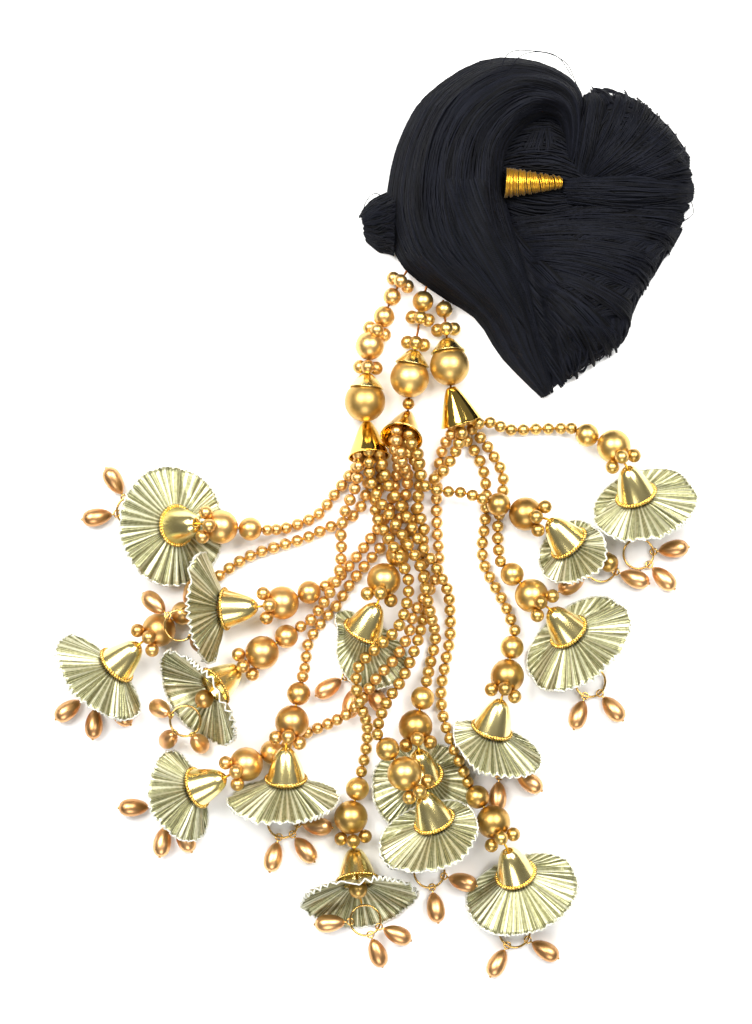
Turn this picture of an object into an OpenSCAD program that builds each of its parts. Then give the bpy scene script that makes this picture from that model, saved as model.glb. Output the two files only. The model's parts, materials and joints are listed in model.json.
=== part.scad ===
// Paranda: a black thread hank with three gold cones and fifteen bead strings,
// each ending in a bell, a pleated ribbon ruffle and a ring of drops.
// Millimetres. It lies on z = 0; +Y runs from the tassels to the hank.

/* [Beads] */
// Radius of the small beads of the strings
bead_r = 2; // [1.8:0.05:2]
// Radius of the middle bead of a tassel
mid_r = 4.1; // [3.9:0.1:4.1]
// Radius of the big bead of a tassel
big_r = 5.9; // [5.7:0.1:5.9]
// Radius of the beads that stand round the thread
ring_bead_r = 2.4; // [2.2:0.1:2.4]
// Radius of the bead inside a ruffle
inner_r = 3.3; // [3:0.1:3.4]
// Radius of the thread that carries the beads
thread_r = 0.4; // [0.35:0.05:0.45]
// Radius of the hole drilled in a bead
bore_r = 0.75; // [0.7:0.05:0.8]

/* [Bells and cones] */
// Height of a bell
bell_h = 11; // [10:0.5:11]
// Radius of a bell at its rim
bell_rim_r = 6.8; // [6.5:0.1:6.9]
// Wall of a bell
bell_wall = 0.6; // [0.5:0.1:0.8]
// Radius of the twisted wire round a bell's rim
rope_r = 0.75; // [0.6:0.05:0.8]
// Height of a cone
cone_h = 12.5; // [12:0.5:13]
// Radius of a cone at its mouth
cone_rim_r = 7.3; // [7.2:0.1:7.4]
// Wall of a cone
cone_wall = 0.7; // [0.6:0.1:0.8]

/* [Rings and drops] */
// Radius of a jump ring, to the middle of its wire
jump_r = 5.3; // [5:0.1:5.4]
// Radius of the jump ring's wire
jump_wire = 0.4; // [0.35:0.05:0.45]
// Greatest radius of a drop
drop_r = 3.2; // [3:0.1:3.2]
// Length of a drop, without its loop
drop_len = 10.6; // [10:0.2:10.6]

/* [Ruffles] */
// Pleats round one ruffle
pleats = 24; // [20:2:24]
// Thickness of a ruffle's wall
ruffle_wall = 1; // [0.9:0.1:1.1]
// Height of a pleat at the hem
pleat_h = 1.5; // [1.2:0.1:1.6]

/* [Hank] */
// Locks of thread that show across a lobe of the hank
locks = 5; // [4:1:6]
// Depth of the grooves between the locks, as a share of the height
lock_depth = 0.06; // [0.03:0.01:0.08]

/* [Hidden] */

// Middle of the part's box in the tables' coordinates; the part is drawn about it
middle = [1.24, -3.24, 0];
// Play between two pieces that touch, and the room left at the floor
gap = 0.2;
curve_fn = 48;
wire_fn = 16;
tube_sides = 8;
gold = "goldenrod";
pale_gold = "khaki";
ribbon = "darkseagreen";
black = "#1c1d22";

// Columns of TASSELS: big bead x and y, length of the thread from big bead to bell, its
// heading and rise, the bell's heading and rise, heading and rise from big to middle bead,
// height of the rim's lowest point
TASSELS = [
  [-52, -5.5, 10.2, 172, 33, 186, -50, -4, -12, 3.9],
  [-31, -32, 10.2, 188, 30, 184, -12, 21, -10, 3.2],
  [-74, -41.5, 10.2, 217, 34, 222, -19, 35, -12, 2.4],
  [-38, -49.5, 10.5, 215, -12, 215, 28, 34, -8, 2.6],
  [-43.5, -88.3, 10.2, 209, 34, 202, -22, 24, -20, 2.4],
  [-27.5, -73.5, 10.2, -103, 27, -90, -16, 77, -10, 3.6],
  [4.5, -24, 10.2, -106, 27, -117, -22, 60, -20, 2.4],
  [-7, -107, 12, -84, -12, -84, 28, 77, -8, 2.6],
  [11.5, -90, 10.2, -48, -8, -69, -24, 125, -8, 9],
  [15.5, -75, 10.2, -82, 34, -82, -38, 76, -10, 2.8],
  [47.5, -57.5, 10.2, -107, 30, -106, -20, 80, -10, 2.4],
  [42.5, -108, 11.5, -63, 20, -71, -32, 123, -12, 2.4],
  [56, -29.5, 10.2, -38, 36, -50, -28, 132, -12, 2.4],
  [54, -1, 10.5, -17, 36, -49, -22, 161, 10, 2.4],
  [84.5, 22.5, 10.2, -62, 28, -68, -30, 156, -14, 2.4]];

// Columns of RUFFLES: flare from the bell's axis, radial width, lowest and highest level
// that the ruffle may reach, share of the pressed part that turns forward, share of the
// width that is lost on a crushed side, place of that side round the bell, share of the
// width that is lost opposite it
RUFFLES = [
  [80, 16, 1.2, 30, 0, 0, 0, 0],
  [68, 16, 5.2, 40, 0.3, 0, 0, 0.1],
  [62, 16.5, 1.2, 40, 0, 0, 0, 0.15],
  [66, 15.5, 1.2, 30, 0.4, 0, 0, 0],
  [62, 16.5, 1.2, 40, 0, 0.3, 0, 0.2],
  [66, 16.5, 1.2, 40, 0, 0, 0, 0.12],
  [74, 15.5, 1.2, 6.8, -0.2, 0.8, 20, 0],
  [70, 16.5, 1.2, 30, 0.4, 0, 0, 0],
  [78, 17, 7.8, 50, 0, 0.5, 190, 0],
  [76, 16, 1.2, 4.6, 0, 0.15, 0, 0.25],
  [68, 16, 1.2, 40, 0, 0.5, 0, 0],
  [60, 16.8, 1.2, 40, 0, 0, 0, 0],
  [68, 16.5, 1.2, 40, -0.4, 0, 0, 0],
  [74, 16, 1.2, 40, -0.8, 0.45, 0, 0.65],
  [70, 16, 1.2, 40, -0.3, 0.25, 0, 0]];

// Columns of JUMPS: tassel, ring centre x, y and z
JUMPS = [
  [1, -84, 0, 1.8], [2, -66, -39.5, 15.9], [3, -96.5, -62.5, 1.8], [4, -64.4, -72.8, 12.2],
  [5, -71, -104, 1.8], [6, -31, -109.5, 1.8], [7, -4.5, -55.5, 1.8], [8, -2, -143, 6.4],
  [9, 20.5, -127, 1.8], [10, 15, -107, 3], [11, 45.5, -88, 1.8], [12, 50.5, -148, 1.8],
  [13, 77, -60, 1.8], [14, 81, -19.5, 1.8], [15, 94, -15, 1.8]];

// Inner beads that lie outside their bell. Columns: tassel, x, y and z
INNERS = [[4, -58, -65.4, 10], [14, 83.2, -18.1, 6]];

// Columns of DROPS: row of JUMPS, heading and rise of the drop from its ring
DROPS = [
  [0, 120, 12], [0, 190, 12],
  [1, 140, -20], [1, 70, -20], [1, -45, -60],
  [2, 217, 12], [2, 267, 12], [2, -45, 12],
  [3, 158, -50], [3, -133, -57], [3, -62, -56],
  [4, 180, 12], [4, -100, 12], [4, -62, 12],
  [5, -105, 12], [5, -50, 12], [5, -5, 12],
  [6, 212, 12], [6, -101, 12], [6, -58, 12],
  [7, 185, -2], [7, -70, -8], [7, -25, -8],
  [8, -14, 20], [8, -80, 12],
  [10, -95, 12], [10, -35, 12],
  [11, -120, 12], [11, -30, 12],
  [12, -110, 12], [12, -50, 12],
  [13, -20, 12], [13, 210, 12],
  [14, -45, 12], [14, 8, 12]];

// Columns of CONES: middle of the narrow end x, y and z, heading, rise, radius at which
// the strings leave it
CONES = [
  [-1.5, 30.9, 3.4, -86, 18, 4.3],
  [12.9, 34, 3.9, -105, 44, 3.2],
  [27.8, 42.8, 8.8, -73, -4, 3.7]];

// Columns of STRINGS: cone, place in the mouth in degrees, then the hand-laid route from
// cone to tassel as x, y and z
STRINGS = [
  [0, 330, [[-7.5, 12.5, 2.6], [-13, 5.5, 2.3], [-19, -1.5, 2.3], [-30, -6, 3]]],
  [1, 315, [[8.6, 20, 10.5], [9.4, 17, 7.2], [9.2, 13.5, 3.6], [8.2, 9, 2.3], [7, 2, 2.3],
    [4.6, -3, 2.3], [0.3, -9, 2.3], [-4.8, -15.7, 2.3], [-9.6, -21.5, 2.3], [-14.5, -25.8, 2.8]]],
  [0, 270, [[-1, 10.5, 2.3], [-3, 2.5, 2.3], [-8, -3, 2.3], [-15, -5.8, 2.3], [-23, -9.5, 2.3],
    [-33, -12.5, 2.3], [-43, -16, 2.3], [-51, -21, 2.3], [-59, -28, 2.6]]],
  [0, 30, [[-4.6, 13, 9], [-5.8, 7.5, 6.4], [-9, 0, 6.6], [-10.4, -7, 6.6], [-10.4, -14, 4.6],
    [-11.2, -21.5, 6.8], [-12.6, -25.5, 7.6], [-15, -29.5, 8.4], [-18.2, -34.5, 5],
    [-22.5, -39.5, 4]]],
  [2, 18, [[25.2, 22, 3.2], [23.5, 13, 2.3], [23, 3, 2.3], [23.3, -8, 2.3], [23.8, -19, 2.3],
    [21.6, -26, 5.8], [18.2, -30.5, 7.8], [14.8, -36, 10], [13, -43, 10.8], [8.5, -51, 10.8],
    [2, -58, 10.6], [-3.5, -66, 8.7], [-8.5, -70.8, 9], [-15, -74.5, 5], [-24, -78.5, 2.5]]],
  [1, 45, [[8.9, 23.8, 16.2], [10.4, 20.2, 15.6], [10.9, 16.7, 12.4], [12.2, 14.3, 8.8],
    [12.9, 12.5, 5.6], [12.6, 8, 2.4], [11.4, 2, 2.3], [8.7, -6, 2.3], [4, -12, 2.3], [-1.5, -18.5, 2.3], [-7.5, -26, 2.3], [-12, -33, 2.3],
    [-18, -40, 2.3], [-22, -46.5, 2.3], [-23, -54, 2.6]]],
  [1, 225, [[14.2, 18.7, 10.9], [16.2, 16, 6.6], [17.2, 12, 3], [16.9, 8, 2.3], [15.7, 0, 2.3],
    [13.6, -7, 2.3]]],
  [0, 210, [[3.6, 11, 2.3], [1.5, 3.5, 2.3], [2.2, -2.5, 6.6], [5, -7.5, 7.2], [7.6, -12, 11],
    [10.3, -17, 12], [13, -24, 11], [12.4, -32, 12], [9.2, -40.5, 14.8], [2, -47.2, 16.4],
    [-4.3, -54, 14], [-5, -62, 13.4], [-3.3, -68, 12.8], [-1.2, -76, 6], [-2, -85, 3]]],
  [2, 90, [[31, 25, 10.4], [29.2, 20, 5.8], [24.8, 13.5, 6.8], [17, 6.5, 6.7], [16.6, 0, 6.7], [18.5, -6, 4.6],
    [18, -13, 2.3], [18.6, -20, 2.3], [19.2, -28, 2.3], [18.8, -34, 2.4], [17.6, -40, 6.5],
    [16, -46, 10.2], [11, -58, 10.6], [5.6, -66, 13], [2.8, -72.5, 17]]],
  [0, 90, [[-0.2, 11, 6.9], [3.2, 3.5, 7.3], [7.2, -2.5, 7.5], [12.4, -11, 8.8], [16.6, -18, 9.8],
    [19, -26.5, 11.8], [19.8, -31.5, 12.2], [21, -37, 8.4], [22.6, -44.5, 2.8], [20.8, -53.5, 2.3]]],
  [2, 306, [[33.5, 24.8, 2.6], [37, 20, 2.3], [39.5, 14, 2.3], [40.5, 5, 2.3], [40, -4, 2.3],
    [39, -13, 2.3], [39.8, -19, 2.3], [43.5, -26.5, 2.3], [47, -33, 3]]],
  [0, 150, [[4.4, 15, 9.4], [5.4, 10.5, 7.4], [10, 2.5, 6.9], [13.7, -4.5, 6.9], [17, -11, 6.9],
    [22, -18.5, 7.4], [24.5, -23, 8.3], [27, -28.5, 5.6], [27.8, -36, 2.6], [27.8, -44, 2.3],
    [26, -54, 2.3], [24.6, -63, 2.3], [25.3, -72, 4], [28.5, -82, 8.2], [32, -90, 8.7]]],
  [2, 234, [[38.8, 25.2, 3.4], [43, 19.5, 2.3], [46.3, 12.5, 2.3], [46, 4, 2.3], [44.6, -4, 2.3],
    [44.6, -12, 3.2]]],
  [1, 135, [[15.8, 20.8, 16.2], [17.2, 14.5, 11.8], [18.5, 9, 11], [24.5, 7, 10], [31, 6.5, 8.2],
    [37, 5, 8.8]]],
  [2, 162, [[41, 31, 7], [49, 28.5, 3], [58, 28.8, 2.3], [67, 29, 3.4]]]];

// Strands between the hank and the cones. Columns of the bead rows: x, y, z, radius
STRAND_BEADS = [
  [[7.4, 75, 5, 3.1], [4.6, 68, 5, 3.7], [-0.4, 57.8, 6, 5], [-2.1, 38.2, 7.5, 7.1]],
  [[18.2, 73.4, 5, 3.7], [13.5, 46.4, 7.2, 6.8], [13.1, 37.5, 5.2, 2.1]],
  [[25.6, 70.6, 4.5, 3], [27.4, 50.6, 8.8, 6.9]]];
// Rings of small beads. Columns: x, y, z of the middle, heading
STRAND_RINGS = [
  [[10.3, 80.2, 5, 240], [2.1, 63, 5.5, 244], [-1.1, 50.2, 6.6, 265]],
  [[17.2, 67.4, 5.5, 260], [15.6, 58.6, 6.2, 260]],
  [[26.2, 63.5, 6, 275]]];
// Where each strand's thread leaves the hank
STRAND_TOPS = [[12.5, 84, 5], [19.4, 78.6, 5], [25.2, 73.9, 4.5]];
// Row in STRAND_BEADS of the bead under each strand's cap
CAPPED = [3, 1, 1];

// Lobes of the hank. Columns: x and y of one edge, x and y of the other, height
HANK_ARCH = [
  [60.9, 39.9, 63.4, 41.3, 3], [46.6, 54.3, 60.9, 55.7, 10], [37.8, 67.6, 57.8, 69.7, 15],
  [24.9, 76, 54.6, 83.7, 20], [11.6, 86.5, 50.4, 95.6, 23], [6.3, 101.2, 46.9, 107.8, 24],
  [7, 115.9, 46.2, 118.7, 25], [10.9, 130.6, 47.6, 127, 25], [19.6, 145.3, 52.2, 133.4, 24],
  [37.8, 156.8, 58.5, 137.6, 22], [55.7, 157.2, 63, 137.9, 20], [69.7, 150.9, 66.2, 136.2, 18],
  [74.2, 142.1, 67.9, 130.6, 15], [73.5, 128.1, 68.3, 124.6, 11], [70.4, 118.7, 68.3, 119.4, 6]];
HANK_RIGHT = [
  [72.4, 118.4, 77, 112.6, 8], [75.4, 133, 86, 112, 14], [78.6, 146.4, 95.5, 111.4, 16],
  [89, 145.4, 103.5, 111.2, 15], [101.5, 137, 109.6, 111.6, 11], [110, 127.5, 112.4, 113.4, 5]];
HANK_LOWER = [
  [49.4, 104.2, 66.2, 44.5, 6], [56, 104.4, 68.5, 47, 13], [67, 105.6, 74.5, 52.2, 17],
  [76, 109.8, 82, 57, 17], [87, 110, 88.6, 61.5, 15], [98, 110, 93.2, 74, 12],
  [106, 109.8, 100, 85.4, 9], [111, 108.8, 106.6, 94.4, 4]];
HANK_SIDE = [
  [6, 111.5, 5.8, 91.4, 12], [0.4, 108.9, 2.5, 92, 8], [-3.2, 104.7, -1.8, 95.6, 4]];
HANK_CORE = [
  [56.7, 135.3, 64.1, 135.3, 5], [52, 130.4, 66.6, 130.4, 8], [48.9, 125.7, 67.2, 125, 9],
  [47.8, 120.8, 66.8, 120.4, 7], [47.4, 117.4, 69.4, 116.8, 4.4], [47.6, 112, 71.8, 112.4, 4.2],
  [48.6, 108, 69.6, 108.6, 4.2], [50, 105.6, 63, 106, 3]];

// Wound gold thread: its axis runs along +X
wrap_start = [46.8, 114.2, 10];
wrap_len = 19.8;
wrap_r = 5;
wrap_tip_r = 1.6;
wrap_turns = 14;

// Directions and places
function unit(v) = v / norm(v);
function heading(az, rise) = [cos(rise) * cos(az), cos(rise) * sin(az), sin(rise)];
function level(v) = [v[0], v[1], 0];
function side_of(d) = unit([d[1], -d[0], 0]);
function up_of(d) = cross(side_of(d), d);
function round_axis(d, angle) = cos(angle) * side_of(d) + sin(angle) * up_of(d);

// A tassel's places, from its row of the table
function bell_dir(t) = heading(t[5], t[6]);
function neck_dir(t) = heading(t[3], t[4]);
function mid_dir(t) = heading(t[7], t[8]);
function rim_outer() = bell_rim_r + gap + rope_r;
function big_z(t) = max(big_r + gap / 2, t[9] + rim_outer() * cos(t[6]) - bell_h * sin(t[6]) - t[2] * sin(t[4]));
function big_at(t) = [t[0], t[1], big_z(t)];
function mid_at(t) = big_at(t) + (mid_r + big_r + gap) * mid_dir(t);
function apex_at(t) = big_at(t) + t[2] * neck_dir(t);
function rim_at(t) = apex_at(t) + bell_h * bell_dir(t);
function inner_at(i) =
  let (own = [for (n = INNERS) if (n[0] == i + 1) [n[1], n[2], n[3]]], t = TASSELS[i],
    p = rim_at(t) + inner_reach * bell_dir(t))
  len(own) > 0 ? own[0] : [p[0], p[1], max(p[2], inner_r + gap)];
inner_reach = 3.4;
function jump_rows(i) = [for (j = JUMPS) if (j[0] == i + 1) j];
function jump_at(row) = [row[1], row[2], row[3]];

// A cone's places
function cone_dir(c) = heading(c[3], c[4]);
function cone_top(c) = [c[0], c[1], c[2]];
function cone_mouth(c) = cone_top(c) + cone_h * cone_dir(c);
knot_r = 1.3;
knot_depth = 3;
string_depth = 4.9;
knot_spread = 1.2;
mouth_depth = 0.4;
straight_out = 1.5;
end_gap = 0.6;

// Path and radii of a string: the thread in the cone, the beads, the thread in the tassel
function string_path(i) =
  let (s = STRINGS[i], c = CONES[s[0]], a = cone_dir(c), place = round_axis(a, s[1]),
    t = TASSELS[i], m = mid_dir(t), e = mid_at(t) + (mid_r + gap) * m,
    start = cone_mouth(c) + c[5] * place,
    b = bell_dir(t), j = jump_at(jump_rows(i)[0]), q = inner_at(i), w = j + jump_r * unit(level(q - j)))
  concat(
    [[cone_top(c) + string_depth * a + knot_spread * place, thread_r]],
    [[start - (mouth_depth + gap) * a, thread_r], [start - mouth_depth * a, bead_r]],
    [[start + straight_out * a, bead_r]],
    [for (p = s[2]) [p, bead_r]],
    [[e + end_gap * m, bead_r], [e + (end_gap - gap) * m, thread_r]],
    [[big_at(t), thread_r], [apex_at(t) - bore_r * b, thread_r], [rim_at(t), thread_r], [q, thread_r]],
    [[w + (jump_wire + thread_r + gap) * unit(q - w), thread_r]]);

function tangent(path, i) =
  unit(path[min(i + 1, len(path) - 1)][0] - path[max(i - 1, 0)][0]);
function tube_points(path, sides) = [
  for (i = [0:len(path) - 1]) for (k = [0:sides - 1])
    path[i][0] + path[i][1] * round_axis(tangent(path, i), 360 * k / sides)];
function tube_faces(rings, sides) = concat(
  [[for (k = [0:sides - 1]) sides - 1 - k]],
  [[for (k = [0:sides - 1]) (rings - 1) * sides + k]],
  [for (i = [0:rings - 2]) for (k = [0:sides - 1])
    [i * sides + k, i * sides + (k + 1) % sides, (i + 1) * sides + k]],
  [for (i = [0:rings - 2]) for (k = [0:sides - 1])
    [i * sides + (k + 1) % sides, (i + 1) * sides + (k + 1) % sides, (i + 1) * sides + k]]);

module swept_tube(path, sides) {
  polyhedron(tube_points(path, sides), tube_faces(len(path), sides));
}

module placed() {
  translate(-middle) children();
}

// Turns +X to x and +Y to y
module axes(x, y) {
  z = cross(x, y);
  multmatrix([[x[0], y[0], z[0], 0], [x[1], y[1], z[1], 0], [x[2], y[2], z[2], 0]]) children();
}

module along(p, d) {
  translate(p) rotate([0, acos(d[2]), atan2(d[1], d[0])]) children();
}

// A bead at p, drilled from both sides along the two directions of its thread, with the
// sphere's seam and poles turned to where no bore meets them
module bead(p, r, d_in, d_out) {
  chord = unit(d_in - d_out);
  side = d_in * d_out < straight_limit ? side_of(chord) : unit(d_in + d_out);
  difference() {
    translate(p) axes(side, chord) sphere(r, $fn = curve_fn);
    if (d_in * d_out < straight_limit)
      along(p - (r + 1) * chord, chord) cylinder(r = bore_r, h = 2 * r + 2, $fn = wire_fn * 2);
    else {
      along(p - bore_start * d_in, d_in) cylinder(r = bore_r, h = r + 1, $fn = wire_fn * 2);
      along(p - bore_start * d_out, d_out) cylinder(r = bore_r, h = r + 1, $fn = wire_fn * 2);
    }
  }
}
// Cosine past which a bead's two bores count as one straight one, and their start behind the middle
straight_limit = -0.999;
bore_start = 0.5;

// Small beads that stand round the thread at the given angles
module bead_ring(p, d, spread, angles) {
  for (a = angles) translate(p + spread * round_axis(d, a)) sphere(ring_bead_r, $fn = curve_fn);
}

// Wall of a bell, cap or cone, from its narrow end at z = 0 to its mouth at z = h
module flared_cup(h, top_r, rim_r, wall, power, steps) {
  outer = [for (k = [0:steps]) [top_r + (rim_r - top_r) * pow(k / steps, power), h * k / steps]];
  inner = [for (k = [steps:-1:1]) [outer[k][0] - wall, outer[k][1]]];
  rotate_extrude($fn = curve_fn)
    polygon(concat([[bore_r + gap, 0]], outer, inner, [[bore_r + gap, 1.2 * wall]]));
}

module bell(p, d) {
  along(p, d) {
    flared_cup(bell_h, 1.9, bell_rim_r, bell_wall, 0.62, 7);
    translate([0, 0, bell_h]) rotate_extrude($fn = curve_fn)
      translate([bell_rim_r + gap, 0]) circle(rope_r, $fn = wire_fn);
  }
}

module jump_ring(p) {
  translate(p) rotate_extrude($fn = curve_fn)
    translate([jump_r, 0]) circle(jump_wire, $fn = wire_fn);
}

loop_r = 1.15;
loop_wire = 0.3;
head_r = 0.45;
// Columns of DROP_FORM: share of a drop's length from its narrow end, share of its radius
DROP_FORM = [
  [0, 0.2], [0.05, 0.4], [0.14, 0.62], [0.27, 0.82], [0.42, 0.95], [0.57, 1], [0.71, 0.96],
  [0.83, 0.82], [0.92, 0.6], [0.98, 0.32]];

// A drop with its loop round the point p of a jump ring and its body along d
module drop(p, d) {
  base_z = loop_r + 0.8;
  along(p, d) {
    rotate([90, 0, 0]) rotate_extrude($fn = curve_fn)
      translate([loop_r, 0]) circle(loop_wire, $fn = wire_fn);
    translate([0, 0, loop_r]) cylinder(r = loop_wire, h = 1.5, $fn = wire_fn);
    rotate_extrude($fn = curve_fn)
      polygon(concat([[0, base_z]], [for (row = DROP_FORM) [drop_r * row[1], base_z + drop_len * row[0]]],
        [[0, base_z + drop_len]]));
    translate([0, 0, base_z + drop_len]) sphere(head_r, $fn = wire_fn);
  }
}

// Ruffle: a pleated cone of ribbon, bent flat where it meets a level it can't pass
function ruffle_point(t, f, angle, s, offset) =
  let (a = bell_dir(t), e = round_axis(a, angle),
    side = cos(angle - f[6]), reach = f[1] * s * (1 - f[5] * max(0, side) - f[7] * max(0, -side)),
    base = rim_at(t) + (ruffle_in + reach * sin(f[0])) * e + (ruffle_start + reach * cos(f[0])) * a,
    low = max(0, f[2] - base[2]), high = max(0, base[2] - f[3]) * min(1, 3 * s),
    press = min(1, (low + high) / 3),
    flat_e = level(e) + f[4] * unit(level(a)),
    n_free = cos(f[0]) * e - sin(f[0]) * a,
    n_flat = [0, 0, low > 0 ? (sin(f[0]) * -a[2] - cos(f[0]) * cos(t[6]) > 0 ? 1 : -1)
      : (cos(f[0]) * cos(t[6]) - sin(f[0]) * a[2] > 0 ? 1 : -1)],
    n = unit((1 - press) * n_free + press * n_flat),
    place = base + [0, 0, low - high] + push_out * (low * flat_e + high * unit(level(a))))
  place + offset * (1 - press / 2) * n;
ruffle_in = 5;
ruffle_start = 1.7;
push_out = 0.35;
ruffle_rows = [0, 0.4, 1];

function ruffle_points(t, f) = [
  for (face = [-1, 1]) for (s = ruffle_rows) for (k = [0:2 * pleats - 1])
    let (wave = (0.3 + (pleat_h / 2 - 0.3) * s) * (k % 2 == 0 ? 1 : -1))
    ruffle_point(t, f, 180 * k / pleats, s, wave + face * ruffle_wall / 2)];
function grid_quad(a, b, c, d, flip) = flip ? [[a, c, b], [b, c, d]] : [[a, b, c], [b, d, c]];
function ruffle_faces() =
  let (n = 2 * pleats, rows = len(ruffle_rows), far = n * rows)
  [for (r = [0:rows - 2]) for (k = [0:n - 1])
    let (k2 = (k + 1) % n, p = r * n, q = (r + 1) * n)
    each concat(
      grid_quad(p + k, p + k2, q + k, q + k2, true),
      grid_quad(far + p + k, far + p + k2, far + q + k, far + q + k2, false),
      r == 0 ? grid_quad(p + k, p + k2, far + p + k, far + p + k2, false) : [],
      r == rows - 2 ? grid_quad(q + k, q + k2, far + q + k, far + q + k2, true) : [])];

module ruffle(i) {
  placed() color(ribbon) polyhedron(ruffle_points(TASSELS[i], RUFFLES[i]), ruffle_faces());
}

module string(i) {
  placed() color(gold) swept_tube(string_path(i), tube_sides);
}

ring_spread = 4.3;
ring_from_big = 7.2;
tassel_angles = [90, 10, 170];
strand_spread = 3.3;
strand_angles = [90, 210, 330];

module tassel(i) {
  t = TASSELS[i];
  n = neck_dir(t);
  placed() color(gold) {
    bead(mid_at(t), mid_r, mid_dir(t), -mid_dir(t));
    bead(big_at(t), big_r, mid_dir(t), unit(apex_at(t) - bore_r * bell_dir(t) - big_at(t)));
    bead_ring(big_at(t) + ring_from_big * n, n, ring_spread, tassel_angles);
    q = inner_at(i);
    j = jump_at(jump_rows(i)[0]);
    bead(q, inner_r, unit(rim_at(t) - q), unit(j + jump_r * unit(level(q - j)) - q));
    for (k = [0:len(JUMPS) - 1]) if (JUMPS[k][0] == i + 1) {
      jump_ring(jump_at(JUMPS[k]));
      for (row = DROPS) if (row[0] == k)
        drop(jump_at(JUMPS[k]) + jump_r * heading(row[1], 0), heading(row[1], row[2]));
    }
  }
  placed() color(pale_gold) bell(apex_at(t), bell_dir(t));
}

// Thread of a strand, from the hank through its beads to the knot in the cone
function strand_path(i) = concat(
  [[STRAND_TOPS[i], thread_r]],
  [for (b = STRAND_BEADS[i]) [[b[0], b[1], b[2]], thread_r]],
  [[cone_top(CONES[i]), thread_r]],
  [[cone_top(CONES[i]) + knot_depth * cone_dir(CONES[i]), thread_r]]);

module strand(i) {
  path = strand_path(i);
  beads = STRAND_BEADS[i];
  placed() color(gold) {
    for (k = [0:len(beads) - 1])
      bead(path[k + 1][0], beads[k][3], unit(path[k][0] - path[k + 1][0]), unit(path[k + 2][0] - path[k + 1][0]));
    for (r = STRAND_RINGS[i]) bead_ring([r[0], r[1], r[2]], heading(r[3], 0), strand_spread, strand_angles);
  }
  b = path[CAPPED[i] + 1][0];
  d = unit(path[CAPPED[i]][0] - b);
  placed() color(pale_gold) along(b + cap_top * d, -d)
    flared_cup(cap_h, cap_top_r, cap_rim_r, bell_wall, 0.8, 4);
}
cap_top = 9.6;
cap_h = 4.6;
cap_top_r = 1.8;
cap_rim_r = 6;

module strand_thread(i) {
  c = CONES[i];
  placed() color(gold) {
    swept_tube(strand_path(i), tube_sides);
    translate(cone_top(c) + knot_depth * cone_dir(c)) sphere(knot_r, $fn = wire_fn);
  }
}

module cone(i) {
  placed() color(pale_gold) along(cone_top(CONES[i]), cone_dir(CONES[i]))
    flared_cup(cone_h, 1.7, cone_rim_r, cone_wall, 0.85, 6);
}

// A lobe of the hank: domed across, with grooves between its locks, flat on the floor
arc_steps = 4 * locks;
function lobe_points(rows) = [
  for (r = rows) for (k = [0:arc_steps])
    let (a = 180 * k / arc_steps, share = (1 - cos(a)) / 2,
      lift = sin(a) * (1 - lock_depth * (1 + cos(360 * locks * k / arc_steps)) / 2))
    [r[0] + (r[2] - r[0]) * share, r[1] + (r[3] - r[1]) * share, r[4] * lift]];

module lobe(rows) {
  placed() color(black) polyhedron(lobe_points(rows), tube_faces(len(rows), arc_steps + 1));
}

function reversed(rows) = [for (k = [len(rows) - 1:-1:0]) rows[k]];

module hank_arch() { lobe(reversed(HANK_ARCH)); }
module hank_right() { lobe(reversed(HANK_RIGHT)); }
module hank_lower() { lobe(reversed(HANK_LOWER)); }
module hank_side() { lobe(HANK_SIDE); }
module hank_core() { lobe(HANK_CORE); }

module gold_wrap() {
  pitch = wrap_len / wrap_turns;
  slope = (wrap_r - wrap_tip_r) / wrap_turns;
  profile = [for (k = [0:wrap_turns - 1]) each [
    [wrap_r - slope * k - 0.25, pitch * k], [wrap_r - slope * k, pitch * (k + 0.5)]]];
  placed() color("gold") along(wrap_start, [1, 0, 0]) rotate_extrude($fn = curve_fn)
    polygon(concat([[0, 0]], profile, [[wrap_tip_r, wrap_len], [0, wrap_len]]));
}

hank_arch();
hank_right();
hank_lower();
hank_side();
hank_core();
gold_wrap();
strand(0);  // strand_1
strand(1);  // strand_2
strand(2);  // strand_3
strand_thread(0);  // strand_thread_1
strand_thread(1);  // strand_thread_2
strand_thread(2);  // strand_thread_3
cone(0);  // cone_1
cone(1);  // cone_2
cone(2);  // cone_3
string(0);  // string_01
string(1);  // string_02
string(2);  // string_03
string(3);  // string_04
string(4);  // string_05
string(5);  // string_06
string(6);  // string_07
string(7);  // string_08
string(8);  // string_09
string(9);  // string_10
string(10);  // string_11
string(11);  // string_12
string(12);  // string_13
string(13);  // string_14
string(14);  // string_15
tassel(0);  // tassel_01
tassel(1);  // tassel_02
tassel(2);  // tassel_03
tassel(3);  // tassel_04
tassel(4);  // tassel_05
tassel(5);  // tassel_06
tassel(6);  // tassel_07
tassel(7);  // tassel_08
tassel(8);  // tassel_09
tassel(9);  // tassel_10
tassel(10);  // tassel_11
tassel(11);  // tassel_12
tassel(12);  // tassel_13
tassel(13);  // tassel_14
tassel(14);  // tassel_15
ruffle(0);  // ruffle_01
ruffle(1);  // ruffle_02
ruffle(2);  // ruffle_03
ruffle(3);  // ruffle_04
ruffle(4);  // ruffle_05
ruffle(5);  // ruffle_06
ruffle(6);  // ruffle_07
ruffle(7);  // ruffle_08
ruffle(8);  // ruffle_09
ruffle(9);  // ruffle_10
ruffle(10);  // ruffle_11
ruffle(11);  // ruffle_12
ruffle(12);  // ruffle_13
ruffle(13);  // ruffle_14
ruffle(14);  // ruffle_15
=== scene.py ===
"""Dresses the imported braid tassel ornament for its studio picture.

Every length in the tables is in millimetres, in the coordinates that the part's source uses, and
``place`` turns a point into the frame's metres.
"""

from __future__ import annotations

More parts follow.
